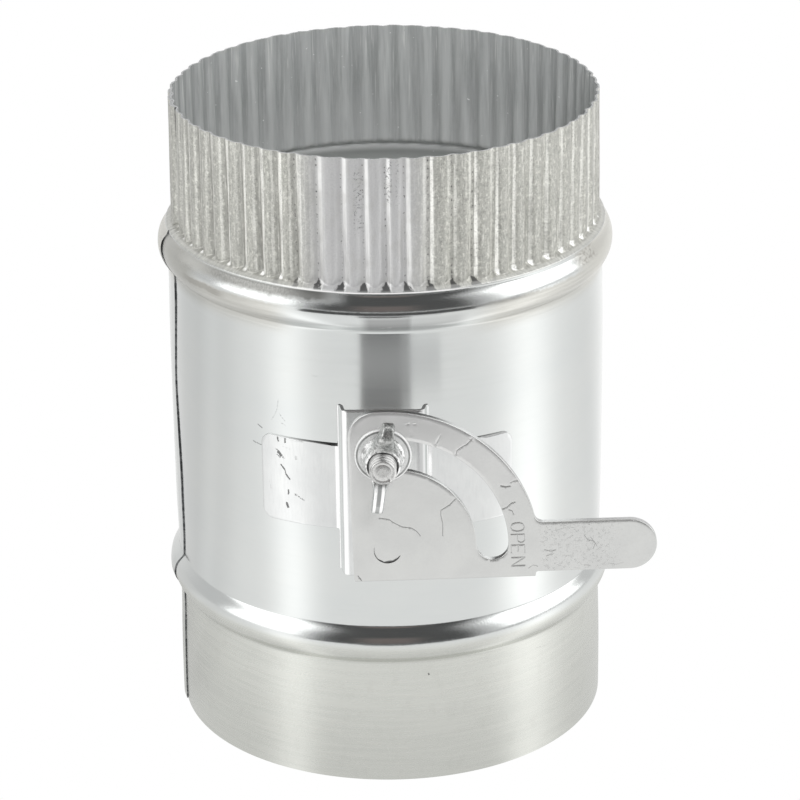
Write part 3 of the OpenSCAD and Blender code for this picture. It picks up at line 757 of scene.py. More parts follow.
def build_sleeve():
    m = Mesh()
    low_out = rows((0, 0.25, 1), (0.25, 28.0, 12), (28.0, 42.4, 40), (42.4, 56.4, 7), (56.4, 66.8, 5),
                   (66.8, 110.5, 17), (110.5, 121.3, 32), (121.3, 121.98, 5))
    low_in = rows((0, 28.0, 8), (28.0, 42.4, 22), (42.4, 56.4, 5), (56.4, 66.8, 4), (66.8, 110.5, 10),
                  (110.5, 121.98, 18))
    up_out = rows((121.98, 124.4, 14), (124.4, 125.2, 3), (125.2, 128.0, 3), (128.0, 151.9, 8), (151.9, 152.4, 2))
    up_in = rows((121.98, 125.0, 8), (125.0, 128.0, 3), (128.0, 152.4, 6))
    cw = np.arange(C0, C1 + 1, 3)
    cc = np.arange(C0, C1 + 1, 1)
    edges = {}
    for inner, low, high in ((False, low_out, up_out), (True, low_in, up_in)):
        mat = 1 if inner else 0
        zz, cg = np.meshgrid(low, cw, indexing="ij")
        lo_ids = m.add(sleeve_face(cg, zz, inner), sleeve_attr(cg, zz, inner)).reshape(zz.shape)
        # openings for the shaft, front and back
        cut = {}
        for name, mid in (("front", -1), ("rear", 371)):
            j0 = int(np.argmin(np.abs(cw - (mid - 12))))
            j1 = int(np.argmin(np.abs(cw - (mid + 12))))
            i0 = int(np.argmin(np.abs(np.array(low) - 56.4)))
            i1 = int(np.argmin(np.abs(np.array(low) - 66.8)))
            cut[name] = (i0, i1, j0, j1)

        def skip(i, j):
            return any(a <= i < b and c <= j < d for a, b, c, d in cut.values())
        m.grid(lo_ids, mat, flip=inner, skip=skip)
        holes = {}
        for name, (i0, i1, j0, j1) in cut.items():
            ring_ids = (list(lo_ids[i0, j0:j1]) + list(lo_ids[i0:i1, j1]) + list(lo_ids[i1, j1:j0:-1])
                        + list(lo_ids[i1:i0:-1, j0]))
            zs = np.array(low)
            ring_cz = ([(cw[j], zs[i0]) for j in range(j0, j1)] + [(cw[j1], zs[i]) for i in range(i0, i1)]
                       + [(cw[j], zs[i1]) for j in range(j1, j0, -1)] + [(cw[j0], zs[i]) for i in range(i1, i0, -1)])
            mid = (0.0 - PHASE) / PITCH * 12 if name == "front" else (180 - PHASE) / PITCH * 12
            k = math.radians(PITCH / 12) * R
            ring_uv = [((c - mid) * k, z - SHAFT_Z) for c, z in ring_cz]
            hole_uv = arc(0, 0, 3.19, 0, 360, 40)[:-1]
            # a turn on the cylinder: the hole is round seen along the shaft
            hole_sz = [(math.asin(x / R) * R, y) for x, y in hole_uv]
            pts, tris, where = fill(ring_uv, [hole_sz])
            hole_ids = m.add(sleeve_face(np.array([mid + x / k for x, _ in hole_sz]),
                                         np.array([SHAFT_Z + y for _, y in hole_sz]), inner),
                             sleeve_attr(np.array([mid + x / k for x, _ in hole_sz]),
                                         np.array([SHAFT_Z + y for _, y in hole_sz]), inner))
            back = {}
            for n, w in enumerate(where):
                back[w] = ring_ids[n] if n < len(ring_ids) else hole_ids[n - len(ring_ids)]
            for t in tris:
                ids = [back[i] for i in t]
                m.face(ids[::-1] if inner else ids, mat)
            holes[name] = hole_ids
        zz, cg = np.meshgrid(high[1:], cc, indexing="ij")
        pts = sleeve_face(cg, zz, inner)
        pts[-1, :, 2] = 152.4 - 0.16 * hash01(np.floor(cc / 5), 21.0) * (0.4 + 0.6 * hash01(cc, 4.0))
        hi_ids = m.add(pts, sleeve_attr(cg, zz, inner)).reshape(zz.shape)
        m.grid(hi_ids, mat, flip=inner)
        m.zipper(list(lo_ids[-1]), list(cw), list(hi_ids[0]), list(cc), mat, flip=inner)
        left = list(lo_ids[:, 0]) + list(hi_ids[:, 0])
        right = list(lo_ids[:, -1]) + list(hi_ids[:, -1])
        zs = list(low) + list(high[1:])
        edges[inner] = dict(bottom=list(lo_ids[0]), top=list(hi_ids[-1]), left=left, right=right, z=zs, holes=holes)
    o, i = edges[False], edges[True]
    m.zipper(o["bottom"], list(cw), i["bottom"], list(cw), 2, flip=True)
    m.zipper(o["top"], list(cc), i["top"], list(cc), 2)
    m.zipper(o["left"], o["z"], i["left"], i["z"], 3)
    m.zipper(o["right"], o["z"], i["right"], i["z"], 3, flip=True)
    for name in ("front", "rear"):
        a, b = list(o["holes"][name]), list(i["holes"][name])
        n = len(a)
        for j in range(n):
            m.face([a[j], b[j], b[(j + 1) % n], a[(j + 1) % n]], 2)
    return m.build("sleeve_sheet", [MAT_OUT, MAT_IN, MAT_CUT, MAT_SEAM], "duct", ["sleeve"], "sleeve_galvanised",
                   sharp=50)


build_sleeve()


# ---- quadrant bracket -------------------------------------------------------

BR_T = 0.9
BR_X = -0.65
EAR_R = 50.84 + BR_T / 2     # middle of the ear's sheet
EAR_END = 33.2


def bracket_path():
    """Middle line of the folded strip seen from above, as (x, y, normal x, normal y,
    length) from the left ear's end to the right ear's end. The normal points out."""
    half = []
    for side in (1, -1):
        pts = [((0.0, -53.55), 0.0)]

        def to(x, y):
            return (side * x + BR_X, y)
        seq = [(7.95 * i / 5, -53.55) for i in range(6)]
        seq += [p for p in arc(7.95, -52.5, 1.05, -90, -10, 9)[1:]]
        seq = [to(*p) for p in seq]
        p0 = np.array(seq[-1])
        d = np.array([side * math.sin(math.radians(10)), math.cos(math.radians(10))])
        nr = np.array([side * math.cos(math.radians(10)), -math.sin(math.radians(10))])
        rf = 0.95
        # the foot's bend touches the side wall and the ear
        base = p0 + rf * nr
        bb, cc = base @ d, base @ base - (EAR_R + rf) ** 2
        s = -bb - math.sqrt(bb * bb - cc)
        if s < 0:
            s = -bb + math.sqrt(bb * bb - cc)
        centre = base + s * d
        t1 = p0 + s * d
        t2 = centre * EAR_R / (EAR_R + rf)
        for i in range(1, 3):
            seq.append(tuple(p0 + (t1 - p0) * i / 3))
        a1 = math.atan2(*(t1 - centre)[::-1])
        a2 = math.atan2(*(t2 - centre)[::-1])
        while a2 - a1 > math.pi:
            a2 -= TAU
        while a2 - a1 < -math.pi:
            a2 += TAU
        seq += [tuple(centre + rf * np.array([math.cos(a1 + (a2 - a1) * i / 9), math.sin(a1 + (a2 - a1) * i / 9)]))
                for i in range(10)]
        th2 = math.atan2(t2[0], -t2[1])
        end = math.radians(side * EAR_END)
        seq += [(EAR_R * math.sin(th2 + (end - th2) * i / 12), -EAR_R * math.cos(th2 + (end - th2) * i / 12))
                for i in range(1, 13)]
        half.append((seq, len(seq) - 13))
    (right, wr), (left, wl) = half
    line = left[:0:-1] + [(BR_X, -53.55)] + right[1:]
    p = np.array(line)
    seg = np.linalg.norm(np.diff(p, axis=0), axis=1)
    s = np.concatenate([[0], np.cumsum(seg)])
    mid = len(left) - 1
    s = s - s[mid]
    tan = np.gradient(p, axis=0)
    tan /= np.linalg.norm(tan, axis=1)[:, None]
    nrm = np.stack([tan[:, 1], -tan[:, 0]], 1)
    return p, nrm, s, mid - wl, mid + wr


def build_bracket():
    p, nrm, s, foot_l, foot_r = bracket_path()
    z0, z1, e0, e1, rc = 54.8, 95.3, 64.9, 85.7, 2.5
    sl, sr = s[foot_l] - 0.15, s[foot_r] + 0.15     # where the side walls end
    ql, qr = s[0] + 0.03, s[-1] - 0.03

    def corner(cx, cz, r, a0, a1, n=6):
        return arc(cx, cz, r, a0, a1, n)
    out = []
    out += corner(sl + 0.4, z0 + 0.4, 0.4, 180, 270, 4) + corner(sr - 0.4, z0 + 0.4, 0.4, 270, 360, 4)
    out += [(sr, e0 - 0.3)] + corner(sr + 0.3, e0 - 0.3, 0.3, 180, 90, 3)[1:]
    out += corner(qr - rc, e0 + rc, rc, 270, 360, 8) + corner(qr - rc, e1 - rc, rc, 0, 90, 8)
    out += corner(sr + 0.3, e1 + 0.3, 0.3, 270, 180, 3)
    out += corner(sr - 0.4, z1 - 0.4, 0.4, 0, 90, 4) + corner(sl + 0.4, z1 - 0.4, 0.4, 90, 180, 4)
    out += [(sl, e1 + 0.3)] + corner(sl - 0.3, e1 + 0.3, 0.3, 360, 270, 3)[1:]
    out += corner(ql + rc, e1 - rc, rc, 90, 180, 8) + corner(ql + rc, e0 + rc, rc, 180, 270, 8)
    out += corner(sl - 0.3, e0 - 0.3, 0.3, 90, 0, 3)
    # the outline follows the bends: a point wherever it crosses one
    full = []
    for (x1, y1), (x2, y2) in zip(out, out[1:] + out[:1]):
        full.append((x1, y1))
        cuts = [si for si in s if min(x1, x2) + 0.06 < si < max(x1, x2) - 0.06]
        full += [(si, y1 + (y2 - y1) * (si - x1) / (x2 - x1)) for si in (cuts if x2 > x1 else cuts[::-1])]
    out = full
    # shaft hole and the square hole for the bolt's neck, on the platform
    hole = arc(0 - BR_X, SHAFT_Z, 3.19, 0, 360, 36)[:-1]
    bx, bz, h = BOLT[0] - BR_X, BOLT[1], 3.1
    square = [(bx - h, bz - h), (bx + h, bz - h), (bx + h, bz + h), (bx - h, bz + h)]
    lines = []
    for i, si in enumerate(s):
        if ql < si < qr:
            if sl + 0.2 <= si <= sr - 0.2:
                lines.append([(si, z0 + 0.35), (si, z1 - 0.35)])
            elif ql + 0.3 < si < qr - 0.3:
                lines.append([(si, e0 + 0.6), (si, e1 - 0.6)])
    for z in np.arange(57, 95, 3.2):
        lines.append([(sl + 0.4, z), (sr - 0.4, z)])
        if e0 + 0.9 < z < e1 - 0.9:
            lines.append([(ql + 0.5, z), (sl - 0.4, z)])
            lines.append([(sr + 0.4, z), (qr - 0.5, z)])
    m = Mesh()
    edge_in = 0.12

    def at(sv, z, off):
        x = np.interp(sv, s, p[:, 0])
        y = np.interp(sv, s, p[:, 1])
        nx = np.interp(sv, s, nrm[:, 0])
        ny = np.interp(sv, s, nrm[:, 1])
        ln = np.hypot(nx, ny)
        return np.stack([x + nx / ln * off, y + ny / ln * off, z], -1)

    loops = [np.array(out), np.array(hole)[::-1], np.array(square)[::-1]]
    inner = [offset_loop(lp, edge_in) for lp in loops]
    pts, tris, where = fill([tuple(q) for q in inner[0]], [tuple(map(tuple, q)) for q in inner[1:]], (), lines)
    a = np.array(pts)
    attr = np.stack([a[:, 0], a[:, 1], np.zeros(len(a))], -1)
    ids = {}
    for sgn in (1, -1):
        off = np.full(len(a), sgn * BR_T / 2)
        # the sheet isn't perfectly flat
        off = off + 0.02 * np.sin(a[:, 0] * 0.31 + 1) * np.sin(a[:, 1] * 0.23) * (sgn > 0)
        ids[sgn] = m.add(at(a[:, 0], a[:, 1], off), attr)
        for t in tris:
            q = [ids[sgn][k] for k in t]
            m.face(q[::-1] if sgn > 0 else q, 0 if sgn > 0 else 1)
    start = 0
    for lp in loops:
        n = len(lp)
        w = [where[start + k] for k in range(n)]
        start += n
        rings = [[ids[1][k] for k in w]]
        for fr, off in ((0.35, 0.42), (1.0, 0.33), (1.0, -0.36)):
            q = offset_loop(lp, edge_in * (1 - fr))
            rings.append(m.add(at(q[:, 0], q[:, 1], np.full(n, off)),
                               np.stack([q[:, 0], q[:, 1], np.zeros(n)], -1)))
        rings.append([ids[-1][k] for k in w])
        for ra, rb in zip(rings[:-1], rings[1:]):
            for k in range(n):
                m.face([ra[k], ra[(k + 1) % n], rb[(k + 1) % n], rb[k]], 2)
    ob = m.build("quadrant_bracket_sheet", [MAT_BRACKET, MAT_BRACKET_BACK, MAT_BRACKET_EDGE], "duct",
                 ["quadrant_bracket"], "bracket_galvanised", sharp=40)
    # the photo's bright wall doesn't mirror the hardware in front of it
    ob.visible_glossy = False
    return ob


def bracket_material():
    m = Mat("bracket_zinc_bright")
    uv = m.attribute()
    s, z, _ = m.split(uv)
    cloud = m.noise(m.scaled(uv, (0.10, 0.07, 1)), 1, 3, 0.55)
    lines = m.noise(m.scaled(uv, (1.8, 0.25, 1)), 1, 3, 0.6)
    fine = m.noise(m.scaled(uv, (4, 4, 1)), 1, 3, 0.6)
    col = m.mix(m.ramp(cloud, 0.3, 0.7), (0.69, 0.70, 0.70), (0.76, 0.77, 0.765))
    col = m.mix(m.ramp(lines, 0.4, 0.8, 0.0, 0.25), col, (0.62, 0.63, 0.63))
    # painted highlights where the sheet was folded: down both feet and the left shoulder, less metallic so they show
    foot = m.ramp(m.math("ABSOLUTE", m.math("SUBTRACT", m.math("ABSOLUTE", m.math("ADD", s, 0.12)), 12.45)), 0.62, 0.22)
    bend = m.ramp(m.math("ABSOLUTE", m.math("ADD", s, 8.45)), 0.62, 0.22)
    fold_highlight = m.math("MAXIMUM", m.math("MULTIPLY", foot, 0.9), m.math("MULTIPLY", bend, 0.7))
    # painted shade: the right fold is drawn darker
    col = m.mix(m.ramp(m.math("ABSOLUTE", m.math("SUBTRACT", s, 8.21)), 0.95, 0.5), col, (0.60, 0.605, 0.605))
    col = m.mix(fold_highlight, col, (0.98, 0.98, 0.975))
    # flakes and scratches on the left ear
    k = marks(m, uv, [
        ((-26.85, 85.4), (-26.7, 84.5), 0.14, 0.0), ((-24.9, 85.4), (-24.95, 84.5), 0.15, 0.0),
        ((-27.4, 82.5), (-26.5, 81.9), 0.17, 0.35), ((-26.7, 81.8), (-26.1, 81.2), 0.29, 0.0),
        ((-26.0, 81.2), (-25.4, 80.6), 0.17, 0.3), ((-27.0, 81.1), (-26.3, 80.6), 0.13, 0.3),
        ((-26.1, 78.8), (-25.2, 77.8), 0.12, 0.0), ((-25.2, 77.8), (-24.9, 76.7), 0.09, 0.1),
        ((-24.9, 76.7), (-24.0, 75.6), 0.13, 0.0), ((-24.4, 72.8), (-24.4, 71.9), 0.17, 0.0),
        ((-22.8, 72.1), (-20.6, 71.0), 0.13, 0.4), ((-24.9, 69.5), (-24.6, 68.6), 0.25, 0.0)], 0.6, 0.09)
    weak = marks(m, uv, [((-22.3, 81.4), (-22.3, 80.9), 0.25, 0.0), ((-25.6, 83.4), (-23.6, 83.1), 0.08, 0.5),
                         ((-29.3, 74.0), (-29.0, 72.4), 0.10, 0.4)])
    k = m.math("MAXIMUM", k, m.math("MULTIPLY", weak, 0.25))
    col = m.mix(m.math("MULTIPLY", k, 0.85), col, (0.14, 0.14, 0.14))
    # the left ear stands a little off the wall towards its foot, in its own shade
    edge = m.math("ADD", z, m.ramp(s, -23.0, -12.6, 0.0, 0.42, "LINEAR"))
    gap = m.math("MULTIPLY", m.ramp(edge, 85.62, 85.78), m.math("MULTIPLY", m.ramp(s, -19.5, -14.5), m.ramp(s, -12.2, -12.5)))
    gap = m.math("MULTIPLY", gap, m.ramp(z, 86.2, 85.9))
    col = m.mix(gap, col, (0.05, 0.05, 0.05))
    rough = m.mixf(k, m.ramp(lines, 0.2, 0.8, 0.12, 0.22, "LINEAR"), 0.5)
    h = m.math("ADD", m.math("MULTIPLY", fine, 0.35), m.math("MULTIPLY", lines, 0.6))
    h = m.math("ADD", h, m.math("MULTIPLY", k, -6.0))
    metallic = m.math("SUBTRACT", 1.0, m.math("MULTIPLY", fold_highlight, 0.75))
    return m.metal(col, rough, m.bump(h, 0.00001), metallic)


def bracket_edge_material():
    """The bracket's sheared edges, with painted shade along the ears' tops where they meet the wall."""
    m = Mat("bracket_sheared_edge")
    uv = m.attribute()
    s, z, _ = m.split(uv)
    grain = m.noise(m.scaled(uv, (3.5, 3.5, 1)), 1, 4, 0.65)
    col = m.mix(m.ramp(grain, 0.3, 0.7), (0.56, 0.565, 0.56), (0.70, 0.705, 0.70))
    up = m.ramp(z, 85.2, 85.5)
    left = m.math("MULTIPLY", m.ramp(s, -27.0, -15.0, 0.1, 1.0), m.ramp(s, -12.1, -12.4))
    right = m.ramp(s, 12.0, 12.6, 0.0, 0.5)
    dark = m.math("MULTIPLY", m.math("MULTIPLY", up, m.ramp(z, 86.6, 86.2)), m.math("MAXIMUM", left, right))
    col = m.mix(dark, col, (0.05, 0.05, 0.05))
    return m.metal(col, m.ramp(grain, 0.25, 0.75, 0.26, 0.42, "LINEAR"), m.bump(grain, 0.00001), 0.9)


MAT_BRACKET, MAT_BRACKET_EDGE = bracket_material(), bracket_edge_material()
MAT_CUT_BRIGHT = zinc_plate("sheared_edge", 0.66, 0.26, 0.42, 1.2, grain_h=0.00001)
MAT_BRACKET_BACK = zinc_plate("bracket_zinc_back", 0.66, 0.24, 0.36, 0.5)
build_bracket()


# ---- quadrant handle --------------------------------------------------------

SIDE_U, FOOT_V, TAB_V, TAB_R, TAB_TIP = -7.8, -7.5, -0.2, 6.1, 60.5
CORNER_R, NECK_R, QUAD_R = 6.5, 2.0, 34.0


def stroke(points, width, depth, shade=1.0):
    return dict(p=[tuple(map(float, q)) for q in points], w=width, d=depth, s=shade)


def letters():
    """The generic legend OPEN, stamped in thin strokes, its letters' tops towards the tab."""
    out = []
    w, h, u0 = 2.05, 3.05, 27.75
    glyphs = [
        (6.1, [[(0.5, 0), (0.12, 0.12), (0, 0.4), (0, 0.65), (0.14, 0.9), (0.5, 1.0), (0.86, 0.9), (1, 0.65),
                (1, 0.4), (0.88, 0.12), (0.5, 0)]]),
        (3.2, [[(0, 0), (0, 1), (0.7, 1), (0.95, 0.88), (0.98, 0.7), (0.86, 0.54), (0.6, 0.48), (0, 0.48)]]),
        (0.55, [[(0.95, 0), (0, 0), (0, 1), (0.95, 1)], [(0, 0.52), (0.75, 0.52)]]),
        (-2.5, [[(0, 0), (0, 1), (1, 0), (1, 1)]])]
    for v0, lines in glyphs:
        for ln in lines:
            out.append(stroke([(u0 + h * b, v0 - w * a) for a, b in ln], 0.24, 0.06, 0.4))
    return out


def scratches():
    s = [
        stroke([(25.8, 15.3), (26.9, 15.0), (27.9, 15.15)], 0.26, 0.08, 0.65),
        stroke([(27.9, 15.9), (28.7, 16.3), (29.6, 16.5)], 0.16, 0.03, 0.8),
        stroke([(25.9, 9.5), (27.0, 9.9), (28.0, 10.9), (28.9, 11.2)], 0.22, 0.06, 0.6),
        stroke([(27.4, 9.4), (28.2, 9.0), (28.5, 8.2)], 0.2, 0.05, 0.6),
        stroke([(5.4, 30.85), (6.0, 30.9)], 0.22, 0.03),
        stroke([(6.9, 30.8), (7.5, 30.85)], 0.22, 0.03),
        stroke([(6.3, 29.2), (6.3, 28.2)], 0.16, 0.018),
        stroke([(19.8, 27.0), (18.6, 25.7), (17.2, 24.9), (16.3, 24.2), (16.1, 23.2)], 0.18, 0.045),
        stroke([(15.6, 12.4), (14.3, 11.0), (12.3, 9.7), (12.2, 8.6), (12.6, 6.4), (12.5, 3.4)], 0.19, 0.042),
        stroke([(-1.6, 8.3), (0.6, 7.9), (1.4, 7.2), (2.8, 6.3), (3.6, 5.9), (5.5, 5.6), (6.6, 4.8), (7.5, 3.6)],
               0.16, 0.034),
        stroke([(11.6, 25.8), (12.2, 26.8), (12.8, 28.1)], 0.14, 0.022),
        stroke([(-6.9, -6.0), (-6.2, -7.1)], 0.26, 0.06),
        stroke([(44.2, 2.4), (45.0, 1.2), (46.3, 0.9), (47.0, -0.4)], 0.18, 0.03),
        stroke([(45.6, 1.9), (46.6, 0.3), (46.2, -0.9)], 0.16, 0.025),
        stroke([(35.2, -0.9), (36.6, -1.3), (37.8, -1.0)], 0.2, 0.03),
        stroke([(35.6, -2.4), (37.0, -2.0)], 0.18, 0.025),
        stroke([(38.0, 3.9), (40.5, 4.6), (42.0, 4.4)], 0.12, 0.014),
        stroke([(49.5, -4.8), (51.4, -5.1), (53.0, -4.6)], 0.12, 0.014),
        stroke([(44.0, -4.9), (45.5, -5.2)], 0.14, 0.02),
        stroke([(31.5, -5.4), (32.6, -4.6), (33.6, -4.9)], 0.14, 0.022),
    ]
    return s + letters()


STROKES = scratches()


def groove_depth(u, v):
    """Depth below the face, and darkness 0..1, at points of the handle's face."""
    u, v = np.asarray(u, float), np.asarray(v, float)
    depth = np.zeros(u.shape)
    dark = np.zeros(u.shape)
    for st in STROKES:
        for (x1, y1), (x2, y2) in zip(st["p"][:-1], st["p"][1:]):
            dx, dy = x2 - x1, y2 - y1
            t = np.clip(((u - x1) * dx + (v - y1) * dy) / (dx * dx + dy * dy), 0, 1)
            d = np.hypot(u - x1 - t * dx, v - y1 - t * dy)
            k = np.clip(1 - d / (st["w"] / 2), 0, 1)
            depth = np.maximum(depth, st["d"] * k)
            dark = np.maximum(dark, np.clip(k * 1.6, 0, 1) * min(1.0, st["d"] / 0.045) * st["s"])
    return depth, dark


def on_handle(u, v, w):
    """Point of the handle's own frame; w counts forward from its back face."""
    a = math.radians(HANDLE_DEG)
    u, v, w = np.broadcast_arrays(np.asarray(u, float), np.asarray(v, float), np.asarray(w, float))
    return np.stack([u * math.cos(a) - v * math.sin(a), HANDLE_BACK - w,
                     SHAFT_Z + u * math.sin(a) + v * math.cos(a)], -1)


def handle_outline():
    out = arc(SIDE_U + 0.5, FOOT_V + 0.5, 0.5, 180, 270, 5)
    x_end = math.sqrt(QUAD_R ** 2 - FOOT_V ** 2)
    out += [(u, FOOT_V) for u in np.linspace(-4, x_end - 0.35, 9)]
    out += [(x_end - 0.05, FOOT_V + 0.12), (x_end + 0.10, TAB_V - TAB_R - 0.25), (x_end + 0.42, TAB_V - TAB_R)]
    out += [(u, TAB_V - TAB_R) for u in np.linspace(36, 52, 5)]
    out += arc(TAB_TIP - TAB_R, TAB_V, TAB_R, -90, 90, 36)
    nu = math.sqrt((QUAD_R + NECK_R) ** 2 - (TAB_V + TAB_R + NECK_R) ** 2)
    nv = TAB_V + TAB_R + NECK_R
    out += [(u, TAB_V + TAB_R) for u in np.linspace(51, 37.5, 5)]
    a = math.degrees(math.atan2(nv, nu))
    out += arc(nu, nv, NECK_R, 270, 180 + a, 9)
    cu = SIDE_U + CORNER_R
    cv = math.sqrt((QUAD_R - CORNER_R) ** 2 - cu ** 2)
    b = math.degrees(math.atan2(cv, cu))
    out += arc(0, 0, QUAD_R, a, b, 72)[1:]
    out += arc(cu, cv, CORNER_R, b, 180, 20)[1:]
    out += [(SIDE_U, v) for v in np.linspace(cv - 4, -5, 8)]
    return out


def slot_loop():
    r, w, a0, a1 = 22.7, 7.2, -0.8, 94.2

    def at(rr, a):
        return (0.9 + rr * math.cos(math.radians(a)), 0.95 + rr * math.sin(math.radians(a)))
    out = [at(r + w / 2, a0 + (a1 - a0) * i / 60) for i in range(61)]
    c = at(r, a1)
    out += [(c[0] + w / 2 * math.cos(math.radians(a1 + 180 * i / 20)),
             c[1] + w / 2 * math.sin(math.radians(a1 + 180 * i / 20))) for i in range(1, 20)]
    out += [at(r - w / 2, a1 + (a0 - a1) * i / 60) for i in range(61)]
    c = at(r, a0)
    out += [(c[0] + w / 2 * math.cos(math.radians(a0 + 180 + 180 * i / 20)),
             c[1] + w / 2 * math.sin(math.radians(a0 + 180 + 180 * i / 20))) for i in range(1, 20)]
    return out


def build_handle():
    m = Mesh()
    outer = np.array(handle_outline())
    slot = np.array(slot_loop())[::-1]
    pin = np.array(arc(0, 0, 3.1, 0, 360, 72)[:-1])[::-1]
    T = 1.5
    roll = [(0.0, 0.20), (0.025, 0.09), (0.07, 0.03), (0.14, 0.0)]    # inset, drop of the rounded front edge

    def attr(u, v, dark):
        return np.stack([u, v, dark], -1)

    lines, pts = [], []
    for st in STROKES:
        lines.append([tuple(q) for q in st["p"]])
    # a fine net of points round every stamped or scratched stroke
    step = 0.13
    net = {}
    for st in STROKES:
        reach = st["w"] / 2 + 0.10
        for (x1, y1), (x2, y2) in zip(st["p"][:-1], st["p"][1:]):
            i0, i1 = int((min(x1, x2) - reach) // step), int((max(x1, x2) + reach) // step) + 1
            j0, j1 = int((min(y1, y2) - reach) // step), int((max(y1, y2) + reach) // step) + 1
            for i in range(i0, i1 + 1):
                for j in range(j0, j1 + 1):
                    x, y = (i + 0.5 * (j % 2)) * step, j * step
                    t = min(1, max(0, ((x - x1) * (x2 - x1) + (y - y1) * (y2 - y1)) / ((x2 - x1) ** 2 + (y2 - y1) ** 2)))
                    d = math.hypot(x - x1 - t * (x2 - x1), y - y1 - t * (y2 - y1))
                    if d < reach:
                        net[(i, j)] = min(d, net.get((i, j), 9))
    pts += [((i + 0.5 * (j % 2)) * step, j * step) for (i, j), d in sorted(net.items()) if d > 0.03]
    # and a wider one outside it, so that no large face leans into a stroke
    wide = {}
    for st in STROKES:
        for (x1, y1), (x2, y2) in zip(st["p"][:-1], st["p"][1:]):
            i0, i1 = int((min(x1, x2) - 1) // 0.3), int((max(x1, x2) + 1) // 0.3) + 1
            j0, j1 = int((min(y1, y2) - 1) // 0.3), int((max(y1, y2) + 1) // 0.3) + 1
            for i in range(i0, i1 + 1):
                for j in range(j0, j1 + 1):
                    x, y = (i + 0.5 * (j % 2)) * 0.3, j * 0.3
                    t = min(1, max(0, ((x - x1) * (x2 - x1) + (y - y1) * (y2 - y1)) / ((x2 - x1) ** 2 + (y2 - y1) ** 2)))
                    d = math.hypot(x - x1 - t * (x2 - x1), y - y1 - t * (y2 - y1)) - st["w"] / 2
                    wide[(i, j)] = min(d, wide.get((i, j), 9))
    pts += [((i + 0.5 * (j % 2)) * 0.3, j * 0.3) for (i, j), d in sorted(wide.items()) if 0.2 < d < 0.6]
    in_outer = offset_loop(outer, roll[-1][0])
    in_slot = offset_loop(slot, roll[-1][0])
    ring2 = offset_loop(outer, 0.9)
    ring3 = offset_loop(slot, 0.9)
    lines += [[tuple(q) for q in np.vstack([ring2, ring2[:1]])], [tuple(q) for q in np.vstack([ring3, ring3[:1]])]]
    for u in np.arange(-6, 59, 2.6):
        for v in np.arange(-6, 33, 2.6):
            pts.append((u + 0.35 * math.sin(v * 3.1), v + 0.35 * math.sin(u * 2.3)))
    v2, tris, where = fill([tuple(q) for q in in_outer],
                           [[tuple(q) for q in in_slot], [tuple(q) for q in pin]], pts, lines)
    a = np.array(v2)
    depth, dark = groove_depth(a[:, 0], a[:, 1])
    edge = np.zeros(len(a))
    n_loop = len(in_outer) + len(in_slot) + len(pin)
    for k in range(n_loop):
        edge[where[k]] = 1
    depth = depth * (1 - edge)
    wave = 0.018 * np.sin(a[:, 0] * 0.37 + 0.6) * np.cos(a[:, 1] * 0.29) * (1 - edge)
    # the face dips a little in a faint wave, and along the strokes
    front = m.add(on_handle(a[:, 0], a[:, 1], T - depth - np.abs(wave)), attr(a[:, 0], a[:, 1], dark))
    for t in tris:
        m.face([front[i] for i in t][::-1], 0)
    bp, btris, bwhere = fill([tuple(q) for q in offset_loop(outer, 0.10)],
                             [[tuple(q) for q in offset_loop(slot, 0.10)], [tuple(q) for q in pin]])
    b = np.array(bp)
    back = m.add(on_handle(b[:, 0], b[:, 1], 0.0), attr(b[:, 0], b[:, 1], np.zeros(len(b))))
    for t in btris:
        m.face([back[i] for i in t], 1)
    start = 0
    for lp, rolled in ((outer, True), (slot, True), (pin, False)):
        n = len(lp)
        rings = [[front[where[start + k]] for k in range(n)]]
        if rolled:
            for ins, drop in roll[-2::-1]:
                q = offset_loop(lp, ins)
                rings.append(m.add(on_handle(q[:, 0], q[:, 1], T - drop), attr(q[:, 0], q[:, 1], np.zeros(n))))
            rings.append(m.add(on_handle(lp[:, 0], lp[:, 1], 0.10), attr(lp[:, 0], lp[:, 1], np.zeros(n))))
        rings.append([back[bwhere[start + k]] for k in range(n)])
        start += n
        for i, (ra, rb) in enumerate(zip(rings[:-1], rings[1:])):
            for k in range(n):
                mat = 0 if (rolled and i < len(roll) - 1) else 2
                m.face([ra[k], ra[(k + 1) % n], rb[(k + 1) % n], rb[k]], mat)
    ob = m.build("quadrant_handle_plate", [MAT_HANDLE, MAT_HANDLE_BACK, MAT_CUT_BRIGHT], "damper",
                 ["quadrant_handle"], "handle_plated", sharp=38)
    ob.visible_glossy = False
    return ob


